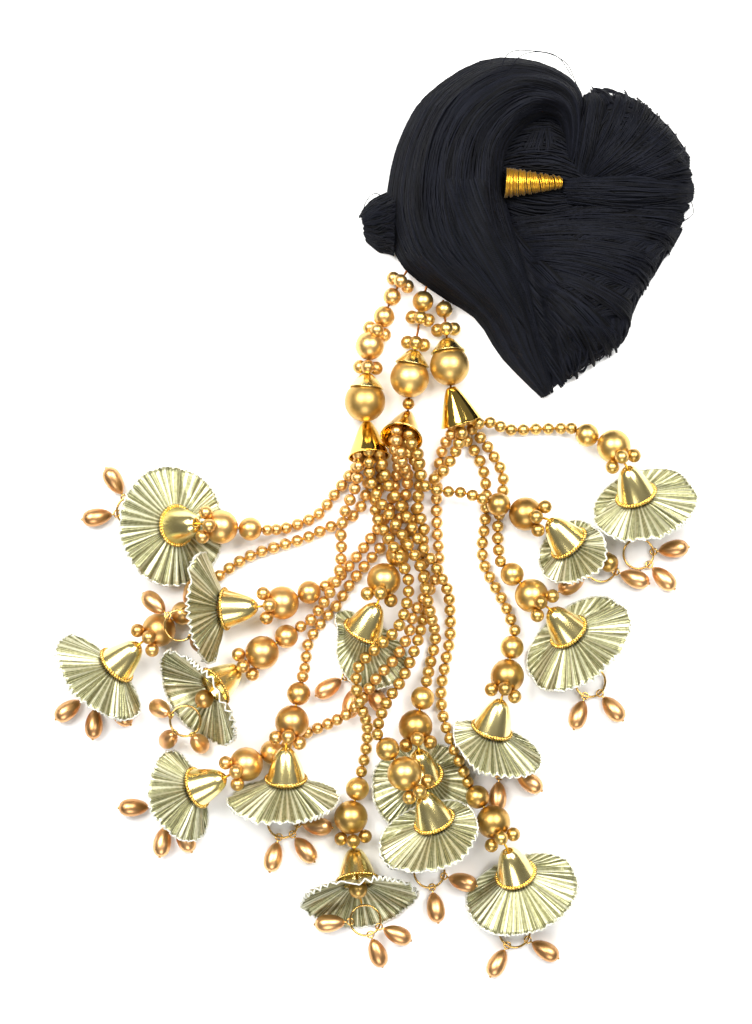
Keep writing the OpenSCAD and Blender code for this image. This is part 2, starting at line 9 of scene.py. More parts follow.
import json
import logging
import math
from dataclasses import dataclass
from enum import Enum
from typing import ClassVar, Sequence

import bpy
import numpy as np
from bpy.types import Material, NodeSocket as Socket, Object
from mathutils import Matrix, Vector

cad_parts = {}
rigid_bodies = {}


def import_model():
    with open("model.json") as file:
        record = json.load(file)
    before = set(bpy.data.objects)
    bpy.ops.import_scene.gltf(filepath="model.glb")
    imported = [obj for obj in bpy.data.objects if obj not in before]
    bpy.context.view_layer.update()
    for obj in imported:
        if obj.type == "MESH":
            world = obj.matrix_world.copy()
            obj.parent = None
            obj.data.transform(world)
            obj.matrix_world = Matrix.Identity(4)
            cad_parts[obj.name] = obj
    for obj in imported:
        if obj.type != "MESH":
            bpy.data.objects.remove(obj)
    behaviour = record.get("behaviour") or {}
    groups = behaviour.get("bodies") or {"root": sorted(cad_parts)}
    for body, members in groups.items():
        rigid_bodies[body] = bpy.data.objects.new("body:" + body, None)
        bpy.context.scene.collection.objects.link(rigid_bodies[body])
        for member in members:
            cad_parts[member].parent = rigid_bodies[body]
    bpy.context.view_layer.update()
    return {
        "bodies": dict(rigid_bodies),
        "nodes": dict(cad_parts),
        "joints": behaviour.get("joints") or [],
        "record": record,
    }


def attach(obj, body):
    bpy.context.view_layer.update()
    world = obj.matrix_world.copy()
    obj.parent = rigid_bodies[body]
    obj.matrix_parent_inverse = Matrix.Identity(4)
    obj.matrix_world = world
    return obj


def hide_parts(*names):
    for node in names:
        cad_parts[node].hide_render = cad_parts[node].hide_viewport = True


LOG = logging.getLogger("paranda")
Array = np.ndarray

MIDDLE = np.array([1.24, -3.24, 0.0])
MM = 0.001
UPRIGHT = 0.99

# Columns: big bead x and y, neck length, neck heading and rise, bell heading and rise,
# heading and rise from big to middle bead, height of the rim's lowest point
TASSELS = [
    [-52, -5.5, 10.2, 172, 33, 186, -50, -4, -12, 3.9],
    [-31, -32, 10.2, 188, 30, 184, -12, 21, -10, 3.2],
    [-74, -41.5, 10.2, 217, 34, 222, -19, 35, -12, 2.4],
    [-38, -49.5, 10.5, 215, -12, 215, 28, 34, -8, 2.6],
    [-43.5, -88.3, 10.2, 209, 34, 202, -22, 24, -20, 2.4],
    [-27.5, -73.5, 10.2, -103, 27, -90, -16, 77, -10, 3.6],
    [4.5, -24, 10.2, -106, 27, -117, -22, 60, -20, 2.4],
    [-7, -107, 12, -84, -12, -84, 28, 77, -8, 2.6],
    [11.5, -90, 10.2, -48, -8, -69, -24, 125, -8, 9],
    [15.5, -75, 10.2, -82, 34, -82, -38, 76, -10, 2.8],
    [47.5, -57.5, 10.2, -107, 30, -106, -20, 80, -10, 2.4],
    [42.5, -108, 11.5, -63, 20, -71, -32, 123, -12, 2.4],
    [56, -29.5, 10.2, -38, 36, -50, -28, 132, -12, 2.4],
    [54, -1, 10.5, -17, 36, -49, -22, 161, 10, 2.4],
    [84.5, 22.5, 10.2, -62, 28, -68, -30, 156, -14, 2.4],
]

# Columns: flare from the bell's axis, radial width, lowest and highest level, forward share,
# share lost on a crushed side, place of that side, share lost opposite it
RUFFLES = [
    [80, 16, 1.2, 30, 0, 0, 0, 0],
    [68, 16, 5.2, 40, 0.3, 0, 0, 0.1],
    [62, 16.5, 1.2, 40, 0, 0, 0, 0.15],
    [66, 15.5, 1.2, 30, 0.4, 0, 0, 0],
    [62, 16.5, 1.2, 40, 0, 0.3, 0, 0.2],
    [66, 16.5, 1.2, 40, 0, 0, 0, 0.12],
    [74, 15.5, 1.2, 6.8, -0.2, 0.8, 20, 0],
    [70, 16.5, 1.2, 30, 0.4, 0, 0, 0],
    [78, 17, 7.8, 50, 0, 0.5, 190, 0],
    [76, 16, 1.2, 4.6, 0, 0.15, 0, 0.25],
    [68, 16, 1.2, 40, 0, 0.5, 0, 0],
    [60, 16.8, 1.2, 40, 0, 0, 0, 0],
    [68, 16.5, 1.2, 40, -0.4, 0, 0, 0],
    [74, 16, 1.2, 40, -0.8, 0.45, 0, 0.65],
    [70, 16, 1.2, 40, -0.3, 0.25, 0, 0],
]

# Columns: tassel, ring centre x, y and z
JUMPS = [
    [1, -84, 0, 1.8], [2, -66, -39.5, 15.9], [3, -96.5, -62.5, 1.8], [4, -64.4, -72.8, 12.2],
    [5, -71, -104, 1.8], [6, -31, -109.5, 1.8], [7, -4.5, -55.5, 1.8], [8, -2, -143, 6.4],
    [9, 20.5, -127, 1.8], [10, 15, -107, 3], [11, 45.5, -88, 1.8], [12, 50.5, -148, 1.8],
    [13, 77, -60, 1.8], [14, 81, -19.5, 1.8], [15, 94, -15, 1.8],
]

# Inner beads outside their bell. Columns: tassel, x, y and z
INNERS = [[4, -58, -65.4, 10], [14, 83.2, -18.1, 6]]

# Columns: row of JUMPS, heading and rise of the drop from its ring
DROPS = [
    [0, 120, 12], [0, 190, 12], [1, 140, -20], [1, 70, -20], [1, -45, -60], [2, 217, 12], [2, 267, 12],
    [2, -45, 12], [3, 158, -50], [3, -133, -57], [3, -62, -56], [4, 180, 12], [4, -100, 12], [4, -62, 12],
    [5, -105, 12], [5, -50, 12], [5, -5, 12], [6, 212, 12], [6, -101, 12], [6, -58, 12], [7, 185, -2],
    [7, -70, -8], [7, -25, -8], [8, -14, 20], [8, -80, 12], [10, -95, 12], [10, -35, 12], [11, -120, 12],
    [11, -30, 12], [12, -110, 12], [12, -50, 12], [13, -20, 12], [13, 210, 12], [14, -45, 12],
    [14, 8, 12],
]

# Columns: share of a drop's length from its narrow end, share of its radius
DROP_FORM = [
    [0, 0.2], [0.05, 0.4], [0.14, 0.62], [0.27, 0.82], [0.42, 0.95], [0.57, 1], [0.71, 0.96],
    [0.83, 0.82], [0.92, 0.6], [0.98, 0.32],
]

# Columns: narrow end x, y and z, heading, rise, radius at which the strings leave the mouth
CONES = [
    [-1.5, 30.9, 3.4, -86, 18, 4.3],
    [12.9, 34, 3.9, -105, 44, 3.2],
    [27.8, 42.8, 8.8, -73, -4, 3.7],
]

# Columns: cone, place in its mouth, route as x, y and z
STRINGS = [
    [0, 330, [[-7.5, 12.5, 2.6], [-13, 5.5, 2.3], [-19, -1.5, 2.3], [-30, -6, 3]]],
    [1, 315, [[8.6, 20, 10.5], [9.4, 17, 7.2], [9.2, 13.5, 3.6], [8.2, 9, 2.3], [7, 2, 2.3],
     [4.6, -3, 2.3], [0.3, -9, 2.3], [-4.8, -15.7, 2.3], [-9.6, -21.5, 2.3], [-14.5, -25.8, 2.8]]],
    [0, 270, [[-1, 10.5, 2.3], [-3, 2.5, 2.3], [-8, -3, 2.3], [-15, -5.8, 2.3], [-23, -9.5, 2.3],
     [-33, -12.5, 2.3], [-43, -16, 2.3], [-51, -21, 2.3], [-59, -28, 2.6]]],
    [0, 30, [[-4.6, 13, 9], [-5.8, 7.5, 6.4], [-9, 0, 6.6], [-10.4, -7, 6.6], [-10.4, -14, 4.6],
     [-11.2, -21.5, 6.8], [-12.6, -25.5, 7.6], [-15, -29.5, 8.4], [-18.2, -34.5, 5], [-22.5, -39.5, 4]]],
    [2, 18, [[25.2, 22, 3.2], [23.5, 13, 2.3], [23, 3, 2.3], [23.3, -8, 2.3], [23.8, -19, 2.3],
     [21.6, -26, 5.8], [18.2, -30.5, 7.8], [14.8, -36, 10], [13, -43, 10.8], [8.5, -51, 10.8],
     [2, -58, 10.6], [-3.5, -66, 8.7], [-8.5, -70.8, 9], [-15, -74.5, 5], [-24, -78.5, 2.5]]],
    [1, 45, [[8.9, 23.8, 16.2], [10.4, 20.2, 15.6], [10.9, 16.7, 12.4], [12.2, 14.3, 8.8],
     [12.9, 12.5, 5.6], [12.6, 8, 2.4], [11.4, 2, 2.3], [8.7, -6, 2.3], [4, -12, 2.3], [-1.5, -18.5, 2.3],
     [-7.5, -26, 2.3], [-12, -33, 2.3], [-18, -40, 2.3], [-22, -46.5, 2.3], [-23, -54, 2.6]]],
    [1, 225, [[14.2, 18.7, 10.9], [16.2, 16, 6.6], [17.2, 12, 3], [16.9, 8, 2.3], [15.7, 0, 2.3],
     [13.6, -7, 2.3]]],
    [0, 210, [[3.6, 11, 2.3], [1.5, 3.5, 2.3], [2.2, -2.5, 6.6], [5, -7.5, 7.2], [7.6, -12, 11],
     [10.3, -17, 12], [13, -24, 11], [12.4, -32, 12], [9.2, -40.5, 14.8], [2, -47.2, 16.4],
     [-4.3, -54, 14], [-5, -62, 13.4], [-3.3, -68, 12.8], [-1.2, -76, 6], [-2, -85, 3]]],
    [2, 90, [[31, 25, 10.4], [29.2, 20, 5.8], [24.8, 13.5, 6.8], [17, 6.5, 6.7], [16.6, 0, 6.7],
     [18.5, -6, 4.6], [18, -13, 2.3], [18.6, -20, 2.3], [19.2, -28, 2.3], [18.8, -34, 2.4],
     [17.6, -40, 6.5], [16, -46, 10.2], [11, -58, 10.6], [5.6, -66, 13], [2.8, -72.5, 17]]],
    [0, 90, [[-0.2, 11, 6.9], [3.2, 3.5, 7.3], [7.2, -2.5, 7.5], [12.4, -11, 8.8], [16.6, -18, 9.8],
     [19, -26.5, 11.8], [19.8, -31.5, 12.2], [21, -37, 8.4], [22.6, -44.5, 2.8], [20.8, -53.5, 2.3]]],
    [2, 306, [[33.5, 24.8, 2.6], [37, 20, 2.3], [39.5, 14, 2.3], [40.5, 5, 2.3], [40, -4, 2.3],
     [39, -13, 2.3], [39.8, -19, 2.3], [43.5, -26.5, 2.3], [47, -33, 3]]],
    [0, 150, [[4.4, 15, 9.4], [5.4, 10.5, 7.4], [10, 2.5, 6.9], [13.7, -4.5, 6.9], [17, -11, 6.9],
     [22, -18.5, 7.4], [24.5, -23, 8.3], [27, -28.5, 5.6], [27.8, -36, 2.6], [27.8, -44, 2.3],
     [26, -54, 2.3], [24.6, -63, 2.3], [25.3, -72, 4], [28.5, -82, 8.2], [32, -90, 8.7]]],
    [2, 234, [[38.8, 25.2, 3.4], [43, 19.5, 2.3], [46.3, 12.5, 2.3], [46, 4, 2.3], [44.6, -4, 2.3],
     [44.6, -12, 3.2]]],
    [1, 135, [[15.8, 20.8, 16.2], [17.2, 14.5, 11.8], [18.5, 9, 11], [24.5, 7, 10], [31, 6.5, 8.2],
     [37, 5, 8.8]]],
    [2, 162, [[41, 31, 7], [49, 28.5, 3], [58, 28.8, 2.3], [67, 29, 3.4]]],
]

# Beads of the strands. Columns: x, y, z, radius
STRAND_BEADS = [
    [[7.4, 75, 5, 3.1], [4.6, 68, 5, 3.7], [-0.4, 57.8, 6, 5], [-2.1, 38.2, 7.5, 7.1]],
    [[18.2, 73.4, 5, 3.7], [13.5, 46.4, 7.2, 6.8], [13.1, 37.5, 5.2, 2.1]],
    [[25.6, 70.6, 4.5, 3], [27.4, 50.6, 8.8, 6.9]],
]
# Rings of small beads on the strands. Columns: x, y, z, heading
STRAND_RINGS = [
    [[10.3, 80.2, 5, 240], [2.1, 63, 5.5, 244], [-1.1, 50.2, 6.6, 265]],
    [[17.2, 67.4, 5.5, 260], [15.6, 58.6, 6.2, 260]], [[26.2, 63.5, 6, 275]],
]
STRAND_TOPS = [[12.5, 84, 5], [19.4, 78.6, 5], [25.2, 73.9, 4.5]]
CAPPED = [3, 1, 1]

# Lobes of the hank. Columns: x and y of one edge, x and y of the other, height
HANK_ARCH = [
    [60.9, 39.9, 63.4, 41.3, 3], [46.6, 54.3, 60.9, 55.7, 10], [37.8, 67.6, 57.8, 69.7, 15],
    [24.9, 76, 54.6, 83.7, 20], [11.6, 86.5, 50.4, 95.6, 23], [6.3, 101.2, 46.9, 107.8, 24],
    [7, 115.9, 46.2, 118.7, 25], [10.9, 130.6, 47.6, 127, 25], [19.6, 145.3, 52.2, 133.4, 24],
    [37.8, 156.8, 58.5, 137.6, 22], [55.7, 157.2, 63, 137.9, 20], [69.7, 150.9, 66.2, 136.2, 18],
    [74.2, 142.1, 67.9, 130.6, 15], [73.5, 128.1, 68.3, 124.6, 11], [70.4, 118.7, 68.3, 119.4, 6],
]
HANK_RIGHT = [
    [72.4, 118.4, 77, 112.6, 8], [75.4, 133, 86, 112, 14], [78.6, 146.4, 95.5, 111.4, 16],
    [89, 145.4, 103.5, 111.2, 15], [101.5, 137, 109.6, 111.6, 11], [110, 127.5, 112.4, 113.4, 5],
]
HANK_LOWER = [
    [49.4, 104.2, 66.2, 44.5, 6], [56, 104.4, 68.5, 47, 13], [67, 105.6, 74.5, 52.2, 17],
    [76, 109.8, 82, 57, 17], [87, 110, 88.6, 61.5, 15], [98, 110, 93.2, 74, 12],
    [106, 109.8, 100, 85.4, 9], [111, 108.8, 106.6, 94.4, 4],
]
HANK_SIDE = [[6, 111.5, 5.8, 91.4, 12], [0.4, 108.9, 2.5, 92, 8], [-3.2, 104.7, -1.8, 95.6, 4]]
HANK_CORE = [
    [56.7, 135.3, 64.1, 135.3, 5], [52, 130.4, 66.6, 130.4, 8], [48.9, 125.7, 67.2, 125, 9],
    [47.8, 120.8, 66.8, 120.4, 7], [47.4, 117.4, 69.4, 116.8, 4.4], [47.6, 112, 71.8, 112.4, 4.2],
    [48.6, 108, 69.6, 108.6, 4.2], [50, 105.6, 63, 106, 3],
]
# Low threads in the hollow and between the two fans, in the same columns
HANK_UNDER = [
    [44, 131, 44, 107, 6], [52, 137, 51, 103, 8], [62, 139, 62, 101, 9], [71, 132, 71, 104, 9],
    [82, 118.5, 82, 105.5, 9], [96, 117, 96, 105, 9], [107, 116, 107, 106, 8],
    [112.5, 114.5, 112, 109.5, 3],
]
HANK_SEAM = [
    [66, 117.4, 67.5, 107.5, 9], [76, 118.6, 77, 105.2, 13.8], [88, 119.4, 88, 103.4, 14.6],
    [99, 118.6, 99, 104, 12.8], [107.5, 116.5, 107.5, 107, 10], [113, 114.8, 113, 110, 3.5],
]
HANK_NOTCH = [
    [70.2, 117.5, 76, 115.8, 9], [70.6, 127, 79.4, 125, 14.5], [71.8, 136, 81.5, 134.8, 16.5],
    [73.2, 141.5, 82.5, 141, 15], [75, 145.5, 80, 145.5, 9],
]

# Loose threads over the hank, as x, y and z
STRAYS = [
    [[44, 150, 20], [47.5, 157.5, 19], [56, 158.6, 17], [64.5, 157, 15], [69.5, 150.5, 14]],
    [[46, 150, 20], [52, 156.6, 20], [60, 157.8, 18], [67.5, 154.5, 16], [71, 148, 14]],
    [[86, 140, 14], [92, 143.5, 11], [95.5, 141, 8], [92, 137, 12]],
    [[104, 112, 10], [110.5, 110, 7], [113, 104.5, 4], [109, 101, 8]],
    [[8, 106, 12], [1, 111, 6], [-2.6, 106, 3], [2, 100.5, 8]],
    [[8, 99, 10], [1.5, 98.5, 4], [-2.6, 101, 2], [1, 104, 7]],
]


# ---- sizes and finishes

@dataclass(frozen=True)
class BeadSizes:
    """Radii of the beads and of what they are strung on, in millimetres."""

    small: float = 2.0
    strung: float = 2.14
    middle: float = 4.1
    big: float = 5.9
    ring: float = 2.4
    inner: float = 3.3
    thread: float = 0.4
    bore: float = 0.75
    ring_bore: float = 0.4
    gap: float = 0.2
    inner_reach: float = 3.4


@dataclass(frozen=True)
class CupSizes:
    """Profile of a bell, cap or cone, in millimetres."""

    height: float
    top: float
    rim: float
    wall: float
    power: float


@dataclass(frozen=True)
class RingSizes:
    """Jump ring and drop sizes, in millimetres."""

    ring: float = 5.3
    wire: float = 0.4
    drop: float = 3.2
    length: float = 10.6
    loop: float = 1.15
    loop_wire: float = 0.3
    pin: float = 0.5
    neck: float = 0.8


@dataclass(frozen=True)
class MetalFinish:
    """Plated metal: two tones that it wanders between, gloss and surface grain."""

    tone: tuple[float, float, float]
    deep: tuple[float, float, float]
    roughness: float
    spread: float
    grain: float
    bump: float


@dataclass(frozen=True)
class ThreadFinish:
    """Thread: two tones, gloss, sheen and the pitch of its twist in millimetres."""

    tone: tuple[float, float, float]
    deep: tuple[float, float, float]
    roughness: float
    sheen: float
    metallic: float
    pitch: float
    specular: float = 0.45


class Finish(Enum):
    """The metal finishes of the ornament."""

    BEAD = MetalFinish((0.70, 0.46, 0.145), (0.38, 0.205, 0.050), 0.36, 0.10, 420.0, 0.05)
    ROSY = MetalFinish((0.78, 0.49, 0.180), (0.48, 0.26, 0.075), 0.37, 0.10, 420.0, 0.05)
    SATIN = MetalFinish((0.72, 0.49, 0.17), (0.46, 0.27, 0.07), 0.41, 0.10, 380.0, 0.05)
    BELL = MetalFinish((0.98, 0.83, 0.38), (0.85, 0.66, 0.22), 0.24, 0.05, 260.0, 0.012)
    ROPE = MetalFinish((0.80, 0.53, 0.14), (0.45, 0.25, 0.05), 0.22, 0.08, 600.0, 0.05)
    CONE = MetalFinish((0.90, 0.62, 0.15), (0.68, 0.39, 0.06), 0.10, 0.06, 240.0, 0.03)
    WIRE = MetalFinish((0.78, 0.50, 0.16), (0.50, 0.28, 0.08), 0.20, 0.06, 500.0, 0.03)
    DROP = MetalFinish((0.78, 0.45, 0.20), (0.50, 0.25, 0.095), 0.37, 0.10, 420.0, 0.05)


class Yarn(Enum):
    """The threads of the ornament."""

    HEM_THREAD = ThreadFinish((0.80, 0.80, 0.72), (0.50, 0.50, 0.42), 0.35, 0.2, 0.45, 0.8)
    BLACK_COTTON = ThreadFinish((0.0042, 0.0050, 0.0094), (0.0008, 0.0009, 0.0015), 0.7, 0.0, 0.0, 0.9, 0.13)
    GOLD_WINDING = ThreadFinish((0.85, 0.47, 0.035), (0.14, 0.040, 0.002), 0.34, 0.1, 0.85, 0.7)


BEADS = BeadSizes()
BELL = CupSizes(11.0, 1.9, 6.8, 0.6, 0.62)
CAP = CupSizes(4.6, 1.8, 6.0, 0.6, 0.8)
CONE = CupSizes(12.5, 1.7, 7.3, 0.7, 0.85)
ROPE_R = 0.75
RINGS = RingSizes()
ROSY_SIDE = -25.0
AXIS_POINT = 0.02


# ---- directions and places

def unit(v: Array) -> Array:
    """Scales a vector, or each row of an array, to length 1."""
    return v / np.maximum(np.linalg.norm(v, axis=-1, keepdims=True), 1e-9)


def heading(azimuth: float, rise: float) -> Array:
    """Direction at an azimuth from +X and a rise from level, in degrees."""
    az, up = math.radians(azimuth), math.radians(rise)
    return np.array([math.cos(up) * math.cos(az), math.cos(up) * math.sin(az), math.sin(up)])


def level(v: Array) -> Array:
    """The vector without its height."""
    return v * np.array([1.0, 1.0, 0.0])


def side_of(d: Array) -> Array:
    """Level direction at a right angle to d."""
    return unit(np.array([d[1], -d[0], 0.0]))


def round_axis(d: Array, angle: float | Array) -> Array:
    """Direction at a right angle to d, at an angle in degrees round it.

    Args:
        d: Direction of the axis.
        angle: One angle or several, from level.

    Returns:
        One direction for each angle.
    """
    side, up = side_of(d), np.cross(side_of(d), d)
    turn = np.radians(np.asarray(angle, dtype=float))[..., None]
    return np.cos(turn) * side + np.sin(turn) * up


def frame_of(d: Array) -> Array:
    """Matrix whose columns are two cross directions and d."""
    side = side_of(d) if abs(d[2]) < 0.999 else np.array([1.0, 0.0, 0.0])
    return np.column_stack([side, np.cross(d, side), d])


def place(points: Array) -> Array:
    """Turns table coordinates in millimetres into the frame's metres."""
    return (np.asarray(points, dtype=float) - MIDDLE) * MM


def path_length(line: Array) -> float:
    """Length of a line of points."""
    return float(np.linalg.norm(np.diff(line, axis=0), axis=1).sum())


def resample(line: Array, count: int) -> Array:
    """The same line with a given number of evenly spaced points.

    Args:
        line: The points of the line.
        count: The number of points wanted.

    Returns:
        The new points.
    """
    along = np.concatenate([[0], np.cumsum(np.linalg.norm(np.diff(line, axis=0), axis=1))])
    want = np.linspace(0, along[-1], count)
    return np.column_stack([np.interp(want, along, line[:, k]) for k in range(3)])


def smooth_path(points: Sequence[Sequence[float]], step: float) -> Array:
    """Centripetal curve through points, resampled evenly.

    Args:
        points: The points that the curve passes through, in millimetres.
        step: Distance between the samples, in millimetres.

    Returns:
        The samples, from the first point to the last.
    """
    pts = np.asarray(points, dtype=float)
    ext = np.vstack([2 * pts[0] - pts[1], pts, 2 * pts[-1] - pts[-2]])
    dense = []
    for i in range(1, len(ext) - 2):
        p0, p1, p2, p3 = ext[i - 1:i + 3]
        d = [max(np.linalg.norm(b - a), 1e-6) ** 0.5 for a, b in ((p0, p1), (p1, p2), (p2, p3))]
        m1 = (p2 - p1) + d[1] * ((p1 - p0) / d[0] - (p2 - p0) / (d[0] + d[1]))
        m2 = (p2 - p1) + d[1] * ((p3 - p2) / d[2] - (p3 - p1) / (d[1] + d[2]))
        t = np.linspace(0, 1, 16, endpoint=False)[:, None]
        dense.append((2 * t**3 - 3 * t**2 + 1) * p1 + (t**3 - 2 * t**2 + t) * m1
                     + (-2 * t**3 + 3 * t**2) * p2 + (t**3 - t**2) * m2)
    line = np.vstack(dense + [pts[-1:]])
    return resample(line, max(2, int(round(path_length(line) / step)) + 1))


class TasselPlace:
    """The places and directions of one tassel."""

    def __init__(self, index: int) -> None:
        """Works the places out.

        Args:
            index: Row of TASSELS.
        """
        x, y, neck, neck_az, neck_rise, bell_az, bell_rise, mid_az, mid_rise, lowest = TASSELS[index]
        self.neck, self.bell = heading(neck_az, neck_rise), heading(bell_az, bell_rise)
        self.mid_dir = heading(mid_az, mid_rise)
        self.bell_rise = bell_rise
        self.rosy = x < ROSY_SIDE
        rim_outer = BELL.rim + BEADS.gap + ROPE_R
        high = (lowest + rim_outer * math.cos(math.radians(bell_rise))
                - BELL.height * math.sin(math.radians(bell_rise)) - neck * math.sin(math.radians(neck_rise)))
        self.big = np.array([x, y, max(BEADS.big + BEADS.gap / 2, high)])
        self.mid = self.big + (BEADS.middle + BEADS.big + BEADS.gap) * self.mid_dir
        self.apex = self.big + neck * self.neck
        self.rim = self.apex + BELL.height * self.bell
        self.jumps = {k: np.array(j[1:], dtype=float) for k, j in enumerate(JUMPS) if j[0] == index + 1}
        self.jump = next(iter(self.jumps.values()))
        self.inner = self.rim + BEADS.inner_reach * self.bell
        self.inner[2] = max(self.inner[2], BEADS.inner + BEADS.gap)
        for row in INNERS:
            if row[0] == index + 1:
                self.inner = np.array(row[1:], dtype=float)

    def drops(self) -> list[tuple[Array, Array]]:
        """Each drop's place on its ring and its direction."""
        return [(jump + RINGS.ring * heading(d[1], 0), heading(d[1], d[2]))
                for k, jump in self.jumps.items() for d in DROPS if d[0] == k]


class ConePlace:
    """The places of one cone."""

    def __init__(self, index: int) -> None:
        """Works the places out.

        Args:
            index: Row of CONES.
        """
        *top, azimuth, rise, self.spread = CONES[index]
        self.axis = heading(azimuth, rise)
        self.top = np.array(top, dtype=float)
        self.mouth = self.top + CONE.height * self.axis


# ---- mesh making

def linked(name: str, data: bpy.types.ID | None) -> Object:
    """A new object in the scene.

    Args:
        name: Its name.
        data: Its mesh, light or camera.

    Returns:
        The object.
    """
    obj = bpy.data.objects.new(name, data)
    bpy.context.scene.collection.objects.link(obj)
    return obj


def full_turn(count: int) -> Array:
    """Evenly spaced angles round a circle, in radians."""
    return 2 * math.pi * np.arange(count) / count


class Shape:
    """Gathers points, faces, their UVs and materials into one mesh."""

    def __init__(self) -> None:
        """Starts with nothing."""
        self.points: list[Array] = []
        self.faces: list[Array] = []
        self.uvs: list[Array] = []
        self.slots: list[Array] = []
        self.tones: list[Array] = []
        self.count = 0

    def grid(self, points: Array, uv: Array, slot: int = 0, wrap: bool = False,
             tone: float = 0.5, flip: bool = False, loop: bool = False) -> None:
        """Adds a sheet of quads.

        Args:
            points: Rows by columns of points, in millimetres.
            uv: Rows (plus one in a loop) by columns (plus one where it wraps) of UV places.
            slot: Material slot.
            wrap: Whether the last column joins the first.
            tone: Value of the tone attribute.
            flip: Whether the faces turn the other way.
            loop: Whether the last row joins the first.
        """
        rows, cols = points.shape[:2]
        r, c = np.meshgrid(np.arange(rows if loop else rows - 1), np.arange(cols if wrap else cols - 1),
                           indexing="ij")
        r2, c2 = (r + 1) % rows, (c + 1) % cols
        quad = np.stack([r * cols + c, r * cols + c2, r2 * cols + c2, r2 * cols + c], -1)
        corner = np.stack([uv[r, c], uv[r, c + 1], uv[r + 1, c + 1], uv[r + 1, c]], -2)
        if flip:
            quad, corner = quad[..., ::-1], corner[..., ::-1, :]
        self.points.append(points.reshape(-1, 3))
        self.faces.append(quad.reshape(-1, 4) + self.count)
        self.uvs.append(corner.reshape(-1, 2))
        self.slots.append(np.full(quad.reshape(-1, 4).shape[0], slot))
        self.tones.append(np.full(rows * cols, tone))
        self.count += rows * cols

    def revolve(self, profile: Array, at: Array, axis: Array, sides: int,
                slot: int = 0, tone: float = 0.5) -> None:
        """Adds a profile turned about an axis.

        Args:
            profile: Radius and height of each point, outer side first.
            at: Place of the profile's origin.
            axis: Direction of the profile's height.
            sides: Number of sides.
            slot: Material slot.
            tone: Value of the tone attribute.
        """
        turn = full_turn(sides)
        local = np.stack([profile[:, :1] * np.cos(turn), profile[:, :1] * np.sin(turn),
                          np.repeat(profile[:, 1:], sides, axis=1)], -1)
        uv = np.meshgrid(np.linspace(0, 1, sides + 1), np.linspace(0, 1, len(profile)))
        self.grid(at + local @ frame_of(unit(axis)).T, np.stack(uv, -1), slot, True, tone)

    def bead(self, at: Array, radius: float, axis: Array, bore: float, sides: int,
             slot: int = 0, tone: float = 0.5) -> None:
        """Adds a drilled bead.

        Args:
            at: Its middle.
            radius: Its radius.
            axis: Direction of its bore.
            bore: Radius of its bore.
            sides: Number of sides.
            slot: Material slot.
            tone: Value of the tone attribute.
        """
        edge = math.asin(bore / radius)
        turn = np.linspace(-math.pi / 2 + edge, math.pi / 2 - edge, max(6, int(sides * 0.56)))
        outer = np.column_stack([np.cos(turn), np.sin(turn)]) * radius
        lip = np.array([[bore * 0.8, -radius * 0.86]])
        self.revolve(np.vstack([lip, outer, lip * [1, -1]]), at, axis, sides, slot, tone)

    def tube(self, line: Array, radius: float, sides: int, slot: int = 0, closed: bool = False) -> None:
        """Adds a round tube with a steady twist.

        Args:
            line: The points that it runs through, in millimetres.
            radius: Its radius.
            sides: Number of sides.
            slot: Material slot.
            closed: Whether its last point joins its first.
        """
        after = np.roll(line, -1, 0) if closed else np.vstack([line[1:], line[-1:]])
        before = np.roll(line, 1, 0) if closed else np.vstack([line[:1], line[:-1]])
        along = unit(after - before)
        side = np.zeros_like(line)
        last = side_of(along[0]) if abs(along[0][2]) < UPRIGHT else np.array([1.0, 0, 0])
        for i, d in enumerate(along):
            last = unit(last - d * (last @ d))
            side[i] = last
        up = np.cross(along, side)
        turn = full_turn(sides)[None, :, None]
        ring = line[:, None] + radius * (np.cos(turn) * side[:, None] + np.sin(turn) * up[:, None])
        uv = np.meshgrid(np.linspace(0, 1, sides + 1), np.arange(len(ring) + closed) / 4.0)
        self.grid(ring, np.stack(uv, -1), slot, True, flip=True, loop=closed)

    def build(self, name: str, *materials: Material) -> Object:
        """Makes the Blender object.

        Args:
            name: The object's name.
            *materials: One for each slot.

        Returns:
            The object, at the origin and linked to the scene.
        """
        mesh = bpy.data.meshes.new(name)
        quads = np.vstack(self.faces)
        mesh.from_pydata(place(np.vstack(self.points)).tolist(), [], quads.tolist())
        layer = mesh.uv_layers.new(name="flow")
        layer.data.foreach_set("uv", np.vstack(self.uvs).astype(np.float32).ravel())
        mesh.polygons.foreach_set("material_index", np.concatenate(self.slots).astype(np.int32))
        mesh.polygons.foreach_set("use_smooth", np.ones(len(quads), dtype=bool))
        tone = mesh.attributes.new("tone", "FLOAT", "POINT")
        tone.data.foreach_set("value", np.concatenate(self.tones).astype(np.float32))
        for material in materials:
            mesh.materials.append(material)
        mesh.update()
        return linked(name, mesh)


def cup_profile(cup: CupSizes, steps: int) -> Array:
    """Closed wall of a flared cup, outside from its narrow end to the rim and back inside.

    Args:
        cup: Its sizes.
        steps: Number of steps along it.

    Returns:
        Radius and height of each point.
    """
    t = np.linspace(0, 1, steps + 1)
    radius = cup.top + (cup.rim - cup.top) * t**cup.power
    outer = np.column_stack([radius, cup.height * t])
    lip = np.array([[cup.rim + 0.1, cup.height + 0.12], [cup.rim - cup.wall / 2, cup.height + 0.28]])
    inner = np.column_stack([radius - cup.wall, cup.height * t])[:0:-1]
    bore = BEADS.bore + BEADS.gap
    hole = np.array([[bore, 1.2 * cup.wall], [bore, -0.1], [cup.top - 0.35, -0.25]])
    return np.vstack([outer, lip, inner, hole, outer[:1]])


